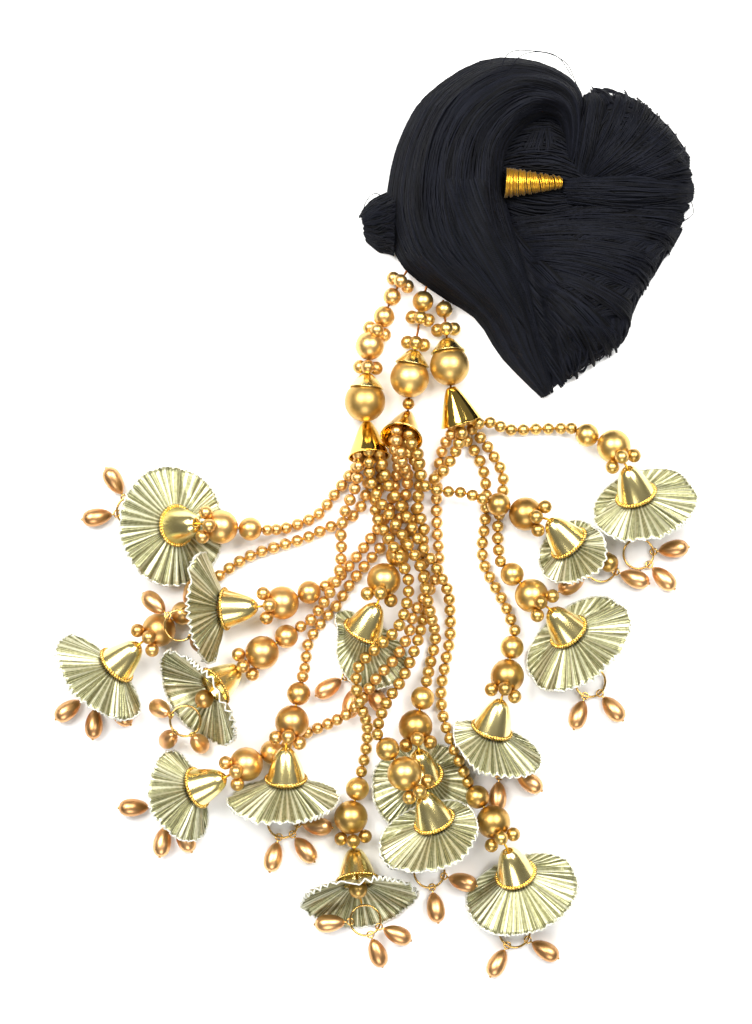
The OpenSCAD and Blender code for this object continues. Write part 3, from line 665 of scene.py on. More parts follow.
def drop_profile() -> Array:
    """Outline of a drop from its narrow end to its round end.

    Returns:
        Radius and height of each point.
    """
    form = np.array(DROP_FORM)
    t = np.linspace(0, 1, 22) ** 0.9
    radius = np.interp(t, np.append(form[:, 0], 1), np.append(form[:, 1], 0))
    radius[1:-1] = 0.25 * radius[:-2] + 0.5 * radius[1:-1] + 0.25 * radius[2:]
    outer = np.column_stack([RINGS.drop * radius, RINGS.loop + RINGS.neck + RINGS.length * t])
    outer[-1, 0] = AXIS_POINT
    return np.vstack([[[AXIS_POINT, outer[0, 1]]], outer])


def line_object(name: str, lines: Sequence[Array], tones: Sequence[float]) -> Object:
    """Object whose mesh is loose lines of edges, each with a tone of its own.

    Args:
        name: The object's name.
        lines: The lines, in millimetres.
        tones: The tone of each.

    Returns:
        The object.
    """
    mesh = bpy.data.meshes.new(name)
    edges, tone, at = [], [], 0
    for line, value in zip(lines, tones):
        edges += [(at + k, at + k + 1) for k in range(len(line) - 1)]
        tone += [value] * len(line)
        at += len(line)
    mesh.from_pydata(place(np.vstack(lines)).tolist(), edges, [])
    mesh.attributes.new("tone", "FLOAT", "POINT").data.foreach_set("value", tone)
    return linked(name, mesh)


def joined(name: str, *objects: Object) -> Object:
    """Joins objects into the first one and names it.

    Args:
        name: Name of the result.
        *objects: The objects.

    Returns:
        The first object.
    """
    bpy.ops.object.select_all(action="DESELECT")
    for obj in objects:
        obj.select_set(True)
    bpy.context.view_layer.objects.active = objects[0]
    bpy.ops.object.join()
    objects[0].name = objects[0].data.name = name
    return objects[0]


def seated(obj: Object, slot: str, *nodes: str) -> Object:
    """Lets a piece ride on the part, names its slot and the nodes that it stands for.

    Args:
        obj: The piece.
        slot: Its slot.
        *nodes: The nodes that it replaces.

    Returns:
        The piece.
    """
    LOG.info("%s, slot %s, in place of %s", obj.name, slot, ", ".join(nodes) or "nothing")
    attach(obj, "root")
    if nodes:
        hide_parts(*nodes)
    return obj


# ---- node trees and materials

class Nodes:
    """A node tree, with a short way to fill it."""

    def __init__(self, tree: bpy.types.NodeTree) -> None:
        """Keeps the tree."""
        self.tree = tree

    def add(self, kind: str, inputs: dict[str | int, object] | None = None, out: str | int = 0,
            **props: object) -> Socket | None:
        """Adds a node.

        Args:
            kind: The node's type.
            inputs: For each input, by name or number, its value or the socket that feeds it.
            out: Name or number of the output that is wanted.
            **props: The node's own properties.

        Returns:
            That output, or None where the node has none.
        """
        node = self.tree.nodes.new(kind)
        for key, value in props.items():
            setattr(node, key, value)
        for key, value in (inputs or {}).items():
            if isinstance(value, Socket):
                self.tree.links.new(value, node.inputs[key])
            else:
                node.inputs[key].default_value = value
        return node.outputs[out] if node.outputs else None


class Surface(Nodes):
    """The nodes of one material."""

    def __init__(self, name: str) -> None:
        """Makes the material, still empty.

        Args:
            name: Its name.
        """
        self.material = bpy.data.materials.new(name)
        self.material.use_nodes = True
        super().__init__(self.material.node_tree)
        self.tree.nodes.clear()

    def spot(self) -> Socket:
        """Object coordinates."""
        return self.add("ShaderNodeTexCoord", out="Object")

    def tone(self) -> Socket:
        """The tone that the piece carries."""
        return self.add("ShaderNodeAttribute", out="Fac", attribute_name="tone")

    def noise(self, scale: float, detail: float = 3.0) -> Socket:
        """Noise on object coordinates."""
        return self.add("ShaderNodeTexNoise", {"Vector": self.spot(), "Scale": scale, "Detail": detail},
                        "Fac")

    def math(self, operation: str, *values: object) -> Socket:
        """Result of an operation on values or sockets."""
        return self.add("ShaderNodeMath", dict(enumerate(values)), operation=operation)

    def ramp(self, share: object, *stops: tuple[float, Sequence[float]]) -> Socket:
        """Colour that follows a share from 0 to 1.

        Args:
            share: The socket that gives the share.
            *stops: Place and colour of each stop, the two ends first.

        Returns:
            The colour.
        """
        colour = self.add("ShaderNodeValToRGB", {"Fac": share})
        elements = colour.node.color_ramp.elements
        for k, (at, shade) in enumerate(stops):
            stop = elements[k] if k < 2 else elements.new(at)
            stop.color, stop.position = (*shade, 1), at
        return colour

    def bump(self, height: object, strength: float, distance: float) -> Socket:
        """Normal that follows a height, with a distance in millimetres."""
        return self.add("ShaderNodeBump", {"Height": height, "Strength": strength, "Distance": distance * MM})

    def shaded(self, inputs: dict[str, object]) -> Material:
        """Ends the nodes in a shader with the given inputs, and gives the material."""
        self.add("ShaderNodeOutputMaterial", {0: self.add("ShaderNodeBsdfPrincipled", inputs)})
        return self.material


class Kit:
    """The procedural materials."""

    def __init__(self) -> None:
        """Makes them all."""
        self.metals = {finish: self.metal(finish) for finish in Finish}
        self.hem, self.black, self.gold = (self.thread(yarn) for yarn in Yarn)
        self.ribbon = self.woven()

    @staticmethod
    def metal(finish: Finish) -> Material:
        """Plated metal with tone and gloss that wander over it, and a fine grain.

        Args:
            finish: Which metal.

        Returns:
            The material.
        """
        f, s = finish.value, Surface("plate_" + finish.name.lower())
        fine = s.noise(f.grain * 3, 4.0)
        share = s.math("MULTIPLY_ADD", s.noise(140.0), 0.55, s.math("MULTIPLY", s.tone(), 0.45))
        rough = s.add("ShaderNodeMapRange", {"Value": fine, "To Min": f.roughness - f.spread / 2,
                                             "To Max": f.roughness + f.spread / 2})
        return s.shaded({"Base Color": s.ramp(share, (0.12, f.deep), (0.62, f.tone)), "Metallic": 1.0,
                         "Roughness": rough, "Normal": s.bump(fine, f.bump * 4, 0.05)})

    @staticmethod
    def thread(yarn: Yarn) -> Material:
        """Twisted thread, with its twist as bump.

        Args:
            yarn: Which thread.

        Returns:
            The material.
        """
        f, s = yarn.value, Surface(yarn.name.lower())
        share = s.math("MULTIPLY_ADD", s.noise(90.0, 5.0), 0.6, s.tone())
        scale = 1 / MM / f.pitch / 6.0
        twist = s.add("ShaderNodeTexWave", {"Vector": s.spot(), "Scale": scale, "Distortion": 2.0},
                      "Fac", wave_type="BANDS", bands_direction="DIAGONAL")
        return s.shaded({"Base Color": s.ramp(share, (0.35, f.deep), (0.95, f.tone)), "Metallic": f.metallic,
                         "Roughness": f.roughness, "Sheen Weight": f.sheen, "Sheen Roughness": 0.4,
                         "Specular IOR Level": f.specular, "Normal": s.bump(twist, 0.35, 0.1)})

    @staticmethod
    def woven() -> Material:
        """Metallic woven ribbon: silver weft, green and gold warp lines, painted highlights on the fold edges
        and painted shade in the pleat valleys.

        Returns:
            The material.
        """
        s = Surface("woven_ribbon")
        uv = s.add("ShaderNodeUVMap", uv_map="flow")

        def wave(part: str, times: float, power: float) -> Socket:
            """Ridges across one part of the UV."""
            turn = s.math("MULTIPLY", s.add("ShaderNodeSeparateXYZ", {0: uv}, part), times * 2 * math.pi)
            return s.math("POWER", s.math("MULTIPLY_ADD", s.math("COSINE", turn), 0.5, 0.5), power)

        warp = wave("X", Ruffle.pleats * 5, 1.5)
        fleck = s.math("MULTIPLY_ADD", s.noise(900.0, 4.0), 0.45, 0.02)
        lift = s.math("MULTIPLY_ADD", warp, 0.25, fleck)
        # Painted highlight on each pleat's fold edge and painted shade in its valley: one bright band per
        # pleat, lifted by the warp lines and flecks.
        share = s.math("MULTIPLY_ADD", wave("X", Ruffle.pleats, 3.0), 0.5, lift)
        cloth = s.ramp(share, (0.14, (0.080, 0.078, 0.030)), (0.82, (0.72, 0.71, 0.51)),
                       (0.45, (0.36, 0.352, 0.180)))
        weave = s.math("MULTIPLY", wave("Y", 24.0, 1.0), warp)
        return s.shaded({"Base Color": cloth, "Metallic": 0.72, "Roughness": 0.36,
                         "Normal": s.bump(weave, 0.5, 0.15)})

    @staticmethod
    def floor() -> Material:
        """Pale matt surface under the part.

        Returns:
            The material.
        """
        s = Surface("pale_table")
        shade = s.ramp(s.noise(3.0), (0, (0.90, 0.90, 0.895)), (1, (0.93, 0.93, 0.925)))
        return s.shaded({"Base Color": shade, "Roughness": 0.85, "Specular IOR Level": 0.15})


class Tree(Nodes):
    """A Geometry Nodes tree with named inputs, run once on a piece."""

    def __init__(self, name: str, **inputs: str) -> None:
        """Makes the tree's interface.

        Args:
            name: The tree's name.
            **inputs: Socket type of each input after the geometry.
        """
        super().__init__(bpy.data.node_groups.new(name, "GeometryNodeTree"))
        face = self.tree.interface
        for label, kind in {"geometry": "Geometry", **inputs}.items():
            face.new_socket(label, in_out="INPUT", socket_type="NodeSocket" + kind)
        face.new_socket("geometry", in_out="OUTPUT", socket_type="NodeSocketGeometry")
        self.ins = self.tree.nodes.new("NodeGroupInput").outputs

    def tube(self, line: Socket, radius: str, sides: object, **inputs: object) -> Socket:
        """Round tube along a curve, its radius from an input of the tree.

        Args:
            line: The curve.
            radius: Name of the input.
            sides: Number of sides, or the socket that gives it.
            **inputs: Other inputs of the last node.

        Returns:
            The tube.
        """
        ring = self.add("GeometryNodeCurvePrimitiveCircle", {"Radius": self.ins[radius], "Resolution": sides},
                        mode="RADIUS")
        return self.add("GeometryNodeCurveToMesh", {"Curve": line, "Profile Curve": ring, **inputs})

    def painted(self, body: Socket, material: str) -> Socket:
        """The geometry in the material that an input of the tree names."""
        return self.add("GeometryNodeSetMaterial", {"Geometry": body, "Material": self.ins[material]})

    def run(self, obj: Object, **values: object) -> Object:
        """Runs the tree on an object and keeps the result as its plain mesh.

        Args:
            obj: The piece, whose mesh is the tree's input.
            **values: The inputs by name.

        Returns:
            The same object.
        """
        mod = obj.modifiers.new("grow", "NODES")
        mod.node_group = self.tree
        for item in self.tree.interface.items_tree:
            if item.in_out == "INPUT" and item.name in values:
                mod[item.identifier] = values[item.name]
        bpy.context.view_layer.update()
        graph = bpy.context.evaluated_depsgraph_get()
        mesh = bpy.data.meshes.new_from_object(obj.evaluated_get(graph), depsgraph=graph)
        obj.modifiers.remove(mod)
        obj.data = mesh
        return obj


def bead_string_tree() -> Tree:
    """Tree that threads beads on each line of a mesh and adds the thread.

    Returns:
        The tree.
    """
    t = Tree("bead_string", bead="Object", count="Int", thread_radius="Float", seed="Int",
             bead_material="Material", thread_material="Material")
    line = t.add("GeometryNodeMeshToCurve", {0: t.ins["geometry"]})
    even = t.add("GeometryNodeResampleCurve", {"Curve": line, "Count": t.ins["count"]}, mode="COUNT")
    bead = t.add("GeometryNodeObjectInfo", {"Object": t.ins["bead"], "As Instance": True}, "Geometry",
                 transform_space="ORIGINAL")
    size = t.add("FunctionNodeRandomValue", {2: 0.955, 3: 1.0, "Seed": t.ins["seed"]}, 1, data_type="FLOAT")
    tone = t.add("FunctionNodeRandomValue", {"Seed": t.ins["seed"]}, 1, data_type="FLOAT")
    turn = t.add("FunctionNodeAlignRotationToVector", {"Vector": t.add("GeometryNodeInputTangent")}, axis="Z")
    spots = t.add("GeometryNodeInstanceOnPoints",
                  {"Points": even, "Instance": bead, "Rotation": turn, "Scale": size})
    toned = t.add("GeometryNodeStoreNamedAttribute", {"Geometry": spots, "Name": "tone", "Value": tone},
                  data_type="FLOAT", domain="INSTANCE")
    beads = t.painted(t.add("GeometryNodeRealizeInstances", {0: toned}), "bead_material")
    cord = t.painted(t.tube(line, "thread_radius", 6, **{"Fill Caps": True}), "thread_material")
    both = t.add("GeometryNodeJoinGeometry", {0: beads})
    t.tree.links.new(cord, both.node.inputs[0])
    t.add("NodeGroupOutput", {0: both})
    return t


def thread_tree() -> Tree:
    """Tree that turns every line of a mesh into a round thread.

    Returns:
        The tree.
    """
    t = Tree("threads", radius="Float", sides="Int", material="Material")
    line = t.add("GeometryNodeMeshToCurve", {0: t.ins["geometry"]})
    real = t.add("GeometryNodeRealizeInstances", {0: t.tube(line, "radius", t.ins["sides"])})
    smooth = t.add("GeometryNodeSetShadeSmooth", {"Geometry": real})
    t.add("NodeGroupOutput", {0: t.painted(smooth, "material")})
    return t


# ---- the hank

@dataclass(frozen=True)
class Loops:
    """Loops of thread that stand out of a lobe.

    Attributes:
        edge: Which edge carries them, 0 or 1 across the lobe.
        clumps: How many clumps stand along that edge.
        at_end: How many stand at the lobe's end.
        reach: How far they reach, as a share of their usual length.
    """

    edge: int
    clumps: int
    at_end: int
    reach: float


@dataclass(frozen=True)
class Fan:
    """Threads that spread over a lobe from its inner end.

    Attributes:
        roots: Rows of share, x and y.
        ends: Rows of share, place along the lobe and place across it.
        bow: How far they bow, as a share of their length.
        reach: How far their clumps stand out, in millimetres.
    """

    roots: Sequence[Sequence[float]]
    ends: Sequence[Sequence[float]]
    bow: float
    reach: float


@dataclass(frozen=True)
class Lobe:
    """One lobe of the hank.

    Attributes:
        rows: Its table.
        threads: How many threads lie over it.
        locks: Number of locks across it.
        tuck: How far it starts before its table.
        node: The solid that it stands for.
        loops: Loops that stand out of it.
        fan: Threads that spread over it.
    """

    rows: Sequence[Sequence[float]]
    threads: int
    locks: int
    tuck: float
    node: str
    loops: Loops | None = None
    fan: Fan | None = None

    def length(self) -> float:
        """Length along its middle, in millimetres."""
        return path_length(np.array([[(r[0] + r[2]) / 2, (r[1] + r[3]) / 2, 0] for r in self.rows]))

    def surface(self, s: Array, a: Array, lift: Array | float = 0.0, locks: int | None = None) -> Array:
        """Points on the lobe.

        Args:
            s: Place along the lobe, from 0 to 1.
            a: Place across it, from 0 to 1.
            lift: Distance above the surface, in millimetres.
            locks: Number of locks across, where it isn't the lobe's own.

        Returns:
            One point for each s and a.
        """
        table = np.asarray(self.rows, dtype=float)
        x = s * (len(table) - 1)
        i = np.clip(x.astype(int), 0, len(table) - 2)
        t = (x - i)[..., None]
        ext = np.vstack([2 * table[0] - table[1], table, 2 * table[-1] - table[-2]])
        p0, p1, p2, p3 = ext[i], ext[i + 1], ext[i + 2], ext[i + 3]
        row = 0.5 * (2 * p1 + (p2 - p0) * t + (2 * p0 - 5 * p1 + 4 * p2 - p3) * t**2
                     + (3 * p1 - p0 - 3 * p2 + p3) * t**3)
        turn = math.pi * a
        share = ((1 - np.cos(turn)) / 2)[..., None]
        groove = 1 - 0.05 * (1 + np.cos(2 * math.pi * (locks or self.locks) * (a + 0.08 * np.sin(9 * s))))
        flat = row[..., 0:2] + (row[..., 2:4] - row[..., 0:2]) * share
        across = unit(row[..., 2:4] - row[..., 0:2])
        height = row[..., 4] * np.sin(turn) * groove
        out = -np.cos(turn)[..., None] * across * np.asarray(lift)[..., None]
        up = height + np.sin(turn) * lift
        return np.concatenate([flat + out, np.maximum(up, Hank.lowest)[..., None]], -1)

    def inverse(self, want: Array) -> tuple[Array, Array]:
        """Finds where on the lobe given points of its plan lie.

        Args:
            want: Points as x and y, in millimetres.

        Returns:
            The places along and across, as surface() takes them.
        """
        chunk, nearest = 512, 6
        grid = np.meshgrid(np.linspace(-0.1, 1, 150), np.linspace(0.003, 0.997, 90), indexing="ij")
        plan = self.surface(*grid)[..., :2].reshape(-1, 2)
        found = np.empty((2, len(want)))
        for lo in range(0, len(want), chunk):
            gap = ((want[lo:lo + chunk, None, :] - plan[None]) ** 2).sum(-1)
            near = np.argpartition(gap, nearest, axis=1)[:, :nearest]
            weight = 1 / (np.take_along_axis(gap, near, 1) + 0.02)
            weight /= weight.sum(1, keepdims=True)
            for k in range(2):
                found[k, lo:lo + chunk] = (grid[k].ravel()[near] * weight).sum(1)
        return found[0], found[1]


def waver(along: Array, knots: Array) -> Array:
    """Values along a thread that pass evenly through a few knots."""
    return np.interp(along, np.linspace(0, 1, len(knots)), knots)


@dataclass
class Hank:
    """The looped black thread hank, its sizes in millimetres."""

    kit: Kit
    thread: float = 0.27
    stray: float = 0.16
    sunk: float = 0.5
    sole: float = 0.1
    lowest: float = 0.29
    tone: float = 0.4
    tone_spread: float = 0.22
    columns: int = 41
    edge_share: float = 0.3
    fan_clumps: int = 22
    fan_steps: int = 17
    crossing_count: int = 190
    crossing_steps: int = 30
    edge_loops: int = 14
    end_loops: int = 12
    loop_steps: int = 11
    LOBES: ClassVar[dict[str, Lobe]] = {
        "arch": Lobe(HANK_ARCH, 420, 5, 0.0, "hank_arch"),
        "right": Lobe(HANK_RIGHT, 260, 4, 0.08, "hank_right", Loops(0, 11, 4, 0.6),
                      Fan([[0, 71.6, 117.2], [1, 76, 111.6]], [[0, 0.3, 0], [0.75, 1, 0], [1, 1, 0.8]],
                          -0.04, 2.6)),
        "lower": Lobe(HANK_LOWER, 380, 6, 0.07, "hank_lower", Loops(1, 17, 3, 1.0),
                      Fan([[0, 49, 103], [0.3, 53, 92], [1, 60, 70]],
                          [[0, 1, 0.12], [0.16, 1, 1], [0.6, 0.6, 1], [1, 0.03, 1]], 0.04, 3.4)),
        "side": Lobe(HANK_SIDE, 80, 2, 0.3, "hank_side", Loops(0, 2, 4, 0.15)),
        "core": Lobe(HANK_CORE, 110, 2, 0.0, "hank_core"),
        "under": Lobe(HANK_UNDER, 110, 3, 0.0, "hank_core"),
        "seam": Lobe(HANK_SEAM, 130, 3, 0.0, "hank_right"),
        "notch": Lobe(HANK_NOTCH, 90, 2, 0.0, "hank_right"),
    }

    def __post_init__(self) -> None:
        """Makes the tree for threads and the source of random draws."""
        self.tree = thread_tree()
        self.rng = np.random.default_rng(11)

    def tones(self, count: int | None = None) -> Array:
        """Random tones of threads."""
        return np.clip(self.rng.normal(self.tone, self.tone_spread, count), 0, 1)

    def threads(self, name: str, lines: Sequence[Array], tones: Sequence[float],
                radius: float = thread, sides: int = 4) -> Object:
        """Makes round black threads.

        Args:
            name: Name of the object.
            lines: Their lines, in millimetres.
            tones: The tone of each.
            radius: Radius of the threads.
            sides: Number of their sides.

        Returns:
            The object.
        """
        return self.tree.run(line_object(name, lines, tones), radius=radius * MM, sides=sides,
                             material=self.kit.black)

    def fan(self, lobe: Lobe) -> list[Array]:
        """Threads that spread from the inner end of a lobe over its free edge, in clumps.

        Args:
            lobe: The lobe, which has a fan.

        Returns:
            The threads' lines, in millimetres.
        """
        count, fan = lobe.threads, lobe.fan
        roots, ends = np.array(fan.roots, dtype=float), np.array(fan.ends, dtype=float)
        clumps = np.sort(self.rng.uniform(0, 1, self.fan_clumps))
        along = 1 - (1 - np.linspace(0, 1, self.fan_steps)) ** 1.5
        u = np.clip((np.arange(count) + 0.5) / count + self.rng.normal(0, 0.006, count), 0, 1)
        close = clumps[np.abs(u[:, None] - clumps).argmin(1)]
        aim = u + 0.35 * (close - u)
        tip = np.exp(-((u - close) / 0.014) ** 2)
        first = np.column_stack([np.interp(u, roots[:, 0], roots[:, k]) for k in (1, 2)])
        first = first + self.rng.normal(0, 0.8, first.shape)
        s_end, h_end = (np.interp(aim, ends[:, 0], ends[:, k]) for k in (1, 2))
        a_end = np.arccos(1 - 2 * np.clip(h_end, 0.002, 0.998)) / math.pi
        go = lobe.surface(s_end, a_end)[:, :2] - first
        swing = fan.bow * (0.6 + 0.8 * self.rng.random(count))
        swing = swing * np.sin(math.pi * np.interp(u, [0, 1], [0.25, 0.9]))
        aside = np.stack([-go[:, 1], go[:, 0]], -1)[:, None]
        plan = (first[:, None] + along[:, None] * go[:, None]
                + (swing[:, None] * np.sin(math.pi * along))[..., None] * aside)
        s, a = (v.reshape(count, -1) for v in lobe.inverse(plan.reshape(-1, 2)))
        s[:, -1], a[:, -1] = s_end, a_end
        out = fan.reach * tip * self.rng.uniform(0.2, 1, count)
        lines = []
        for k in self.rng.permutation(count):
            bob = 0.1 + 0.6 * self.rng.random() + 0.5 * waver(along, self.rng.random(7))
            bob = bob + out[k] * np.clip(2.5 * along - 1.5, 0, 1) ** 2
            lines.append(lobe.surface(s[k], a[k], bob))
        return lines

    def loops(self, lobe: Lobe) -> list[Array]:
        """Loops of thread that stand out of a lobe's free edge and of its end.

        Args:
            lobe: The lobe, which has loops.

        Returns:
            The loops' lines, in millimetres.
        """
        own, length, draw = lobe.loops, lobe.length(), self.rng.uniform
        turn = np.linspace(0, math.pi, self.loop_steps)
        lines = []
        for k in range(own.clumps):
            centre = 0.16 + 0.82 * (k + 0.5 + self.rng.normal(0, 0.15)) / own.clumps
            half, far = draw(2.2, 4.0) / length, own.reach * draw(1.2, 3.0)
            for _ in range(self.edge_loops):
                wide, out, rise = half * draw(0.7, 1.3), far * draw(0.3, 1.1), draw(0.03, 0.13)
                inset = rise + 0.14 * (1 - np.sin(turn))
                lines.append(lobe.surface(centre - wide * np.cos(turn), abs(own.edge - inset),
                                          0.2 + out * np.sin(turn)))
        for k in range(own.at_end):
            centre = 0.12 + 0.76 * (k + 0.5) / own.at_end
            half, far = draw(0.05, 0.1), own.reach * draw(1.5, 3.0) / length
            for _ in range(self.end_loops):
                wide, out, lift = half * draw(0.7, 1.3), far * draw(0.3, 1.1), draw(-1.5, 0.4)
                lines.append(lobe.surface(0.9 + (0.1 + out) * np.sin(turn), centre - wide * np.cos(turn),
                                          lift))
        return lines

    def body(self, name: str, lobe: Lobe) -> Object:
        """The dark body that fills a lobe under its threads.

        Args:
            name: The lobe's name.
            lobe: The lobe.

        Returns:
            The object.
        """
        s, a = np.meshgrid(np.linspace(-lobe.tuck, 1, max(8, int(lobe.length() / 4))),
                           np.linspace(0, 1, self.columns), indexing="ij")
        top = lobe.surface(s, a, -self.sunk)
        under = top[:, ::-1].copy()
        under[..., 2] = self.sole
        shape = Shape()
        for sheet in (top, under):
            shape.grid(sheet, np.stack([a, s], -1), flip=True)
        for row, turn in ((top[:1], True), (top[-1:], False)):
            foot = row.copy()
            foot[..., 2] = self.sole
            shape.grid(np.vstack([row, foot]), np.zeros((2, self.columns, 2)), flip=turn)
        return shape.build(f"hank_{name}_body", self.kit.black)

    def lobe(self, name: str, lobe: Lobe) -> Object:
        """One lobe: a dark body under a coat of threads that follow its flow.

        Args:
            name: The lobe's name.
            lobe: The lobe.

        Returns:
            The piece.
        """
        body = self.body(name, lobe)
        lines, tones = [], []
        along = np.linspace(0, 1, max(10, int(lobe.length() / 4.5)))
        for k in self.rng.permutation(lobe.threads):
            across = (k + 0.5) / lobe.threads + self.rng.normal(0, 0.012)
            if lobe.fan and abs(across - lobe.loops.edge) < self.edge_share:
                continue
            a_line = np.clip(across + waver(along, self.rng.normal(0, 0.018, 6)), 0.004, 0.996)
            bob = 0.05 + 0.45 * self.rng.random() + 0.35 * waver(along, self.rng.random(9))
            start, stop = self.rng.uniform(0, 0.03) - lobe.tuck, 1 - self.rng.uniform(-0.012, 0.02)
            lines.append(lobe.surface(start + (stop - start) * along, a_line, bob))
            tones.append(float(self.tones()))
        if lobe.fan:
            lines += self.fan(lobe)
            tones.extend(self.tones(lobe.threads))
        if lobe.loops:
            loops = self.loops(lobe)
            lines += loops
            tones.extend(self.rng.uniform(0.2, 0.7, len(loops)))
        lay = self.threads(f"hank_{name}_threads", lines, tones)
        return seated(joined(f"hank_{name}_cotton", body, lay), "black_thread", lobe.node)

    def crossing(self) -> Object:
        """Threads that run down the arch and bend over the lower lobe to its free edge.

        Returns:
            The piece.
        """
        count, below = self.crossing_count, self.LOBES["lower"]
        t = np.linspace(0, 1, self.crossing_steps)[:, None]
        v = self.rng.permutation(count)[:, None, None] / count
        v = np.clip(v + self.rng.normal(0, 0.02, v.shape), 0, 1)
        last = below.surface(0.02 + 0.52 * v[:, 0, 0], np.full(count, 0.985),
                             self.rng.uniform(-0.5, 1.8, count))[:, None, :2]
        a, b, c = (np.concatenate([x, y], -1) for x, y in
                   ((24 + 19 * v, 117 + 0 * v), (27 + 19.5 * v, 97 + 3 * v), (45 + 13 * v, 74 + 12 * v)))
        plan = (1 - t) ** 3 * a + 3 * t * (1 - t) ** 2 * b + 3 * t * t * (1 - t) * c + t**3 * last
        flat, high = plan.reshape(-1, 2), np.zeros(plan.shape[:2])
        for lobe in (self.LOBES["arch"], below):
            spot = lobe.surface(*lobe.inverse(flat), locks=5)
            inside = np.linalg.norm(spot[:, :2] - flat, axis=1) < 1.2
            high = np.maximum(high, np.where(inside, spot[:, 2], 0).reshape(high.shape))
        padded = np.pad(high, ((0, 0), (2, 2)), mode="edge")
        high = np.maximum(high, sum(padded[:, k:k + high.shape[1]] for k in range(5)) / 5)
        high += 0.25 + 0.8 * self.rng.random((count, 1)) - 1.2 * (t[:, 0] < 0.04)
        lines = [np.column_stack([p, np.maximum(z, self.lowest)]) for p, z in zip(plan, high)]
        lay = self.threads("hank_crossing_threads", lines, self.tones(count))
        return seated(lay, "black_thread", "hank_lower")

    def strays(self) -> Object:
        """Thin threads that stand off the hank."""
        lines = [smooth_path(p, 1.5) for p in STRAYS]
        loose = self.threads("hank_stray_threads", lines, [0.5] * len(lines), self.stray, 5)
        return seated(loose, "black_thread")

    def build(self) -> None:
        """Makes all the pieces."""
        for name, lobe in self.LOBES.items():
            self.lobe(name, lobe)
        self.crossing()
        self.strays()


@dataclass
class Winding:
    """The gold thread wound round the middle of the hank, over a dark core, in millimetres."""

    kit: Kit
    start: tuple[float, float, float] = (46.8, 114.2, 10.0)
    length: float = 19.6
    wide: float = 4.9
    tip: float = 1.6
    turns: int = 38
    per_turn: int = 20
    thread: float = 0.29

    def build(self) -> None:
        """Makes the core and the thread."""
        core = [[AXIS_POINT, 0], [self.wide - 0.3, 0], [self.tip - 0.2, self.length],
                [AXIS_POINT, self.length]]
        shape = Shape()
        shape.revolve(np.array(core), np.array(self.start), np.array([1.0, 0, 0]), 24, 1)
        t = np.linspace(0, 1, self.turns * self.per_turn)
        angle = 2 * math.pi * self.turns * t
        radius = self.wide + (self.tip - self.wide) * t**1.15 + 0.22 * np.sin(61 * t) + 0.18 * np.sin(173 * t)
        x, y, z = self.start
        shape.tube(np.column_stack([
            x + self.length * (t + 0.010 * np.sin(31 * t) + 0.005 * np.sin(83 * t))
            + 0.5 * np.cos(angle + 5 * t),
            y + radius * np.cos(angle), z + radius * np.sin(angle)]), self.thread, 6)
        seated(shape.build("wrap_winding", self.kit.gold, self.kit.black), "gold_thread", "gold_wrap")


# ---- strands, strings and tassels

@dataclass
class Numbered:
    """A sub-assembly that there are several of, with its row in the tables."""

    kit: Kit
    index: int

    @property
    def number(self) -> str:
        """Its number in names."""
        return f"{self.index + 1:02d}"


@dataclass
class Strand(Numbered):
    """One short strand between the hank and its cone, sizes in millimetres."""

    ring_spread: float = 3.3
    ring_angles: tuple[int, ...] = (90, 210, 330)
    large: float = 5.5
    cap_top: float = 9.6

    def build(self) -> None:
        """Makes the strand's beads and cap, and its cone."""
        i, rng = self.index, np.random.default_rng(40 + self.index)
        cone = ConePlace(i)
        beads = [np.array(b[:3], dtype=float) for b in STRAND_BEADS[i]]
        path = [np.array(STRAND_TOPS[i], dtype=float), *beads, cone.top]
        shape = Shape()
        for k, (at, (*_, radius)) in enumerate(zip(beads, STRAND_BEADS[i])):
            shape.bead(at, radius, path[k] - path[k + 2], BEADS.bore, 32 if radius > 4 else 24,
                       int(radius > self.large), rng.random())
        for *middle, azimuth in STRAND_RINGS[i]:
            d = heading(azimuth, 0)
            for a in self.ring_angles:
                spot = np.array(middle) + self.ring_spread * round_axis(d, a)
                shape.bead(spot, BEADS.ring, d, BEADS.ring_bore, 20, 0, rng.random())
        b = beads[CAPPED[i]]
        d = unit(path[CAPPED[i]] - b)
        shape.revolve(cup_profile(CAP, 8), b + self.cap_top * d, -d, 32, 2)
        small = Finish.ROSY if i == 0 else Finish.BEAD
        metals = [self.kit.metals[f] for f in (small, Finish.SATIN, Finish.BELL)]
        seated(shape.build(f"strand_beads_{i + 1}", *metals),
               "gold_bead", f"strand_{i + 1}")
        shell = Shape()
        shell.revolve(cup_profile(CONE, 14), cone.top, cone.axis, 48)
        seated(shell.build(f"cone_shell_{i + 1}", self.kit.metals[Finish.CONE]), "pale_gold", f"cone_{i + 1}")


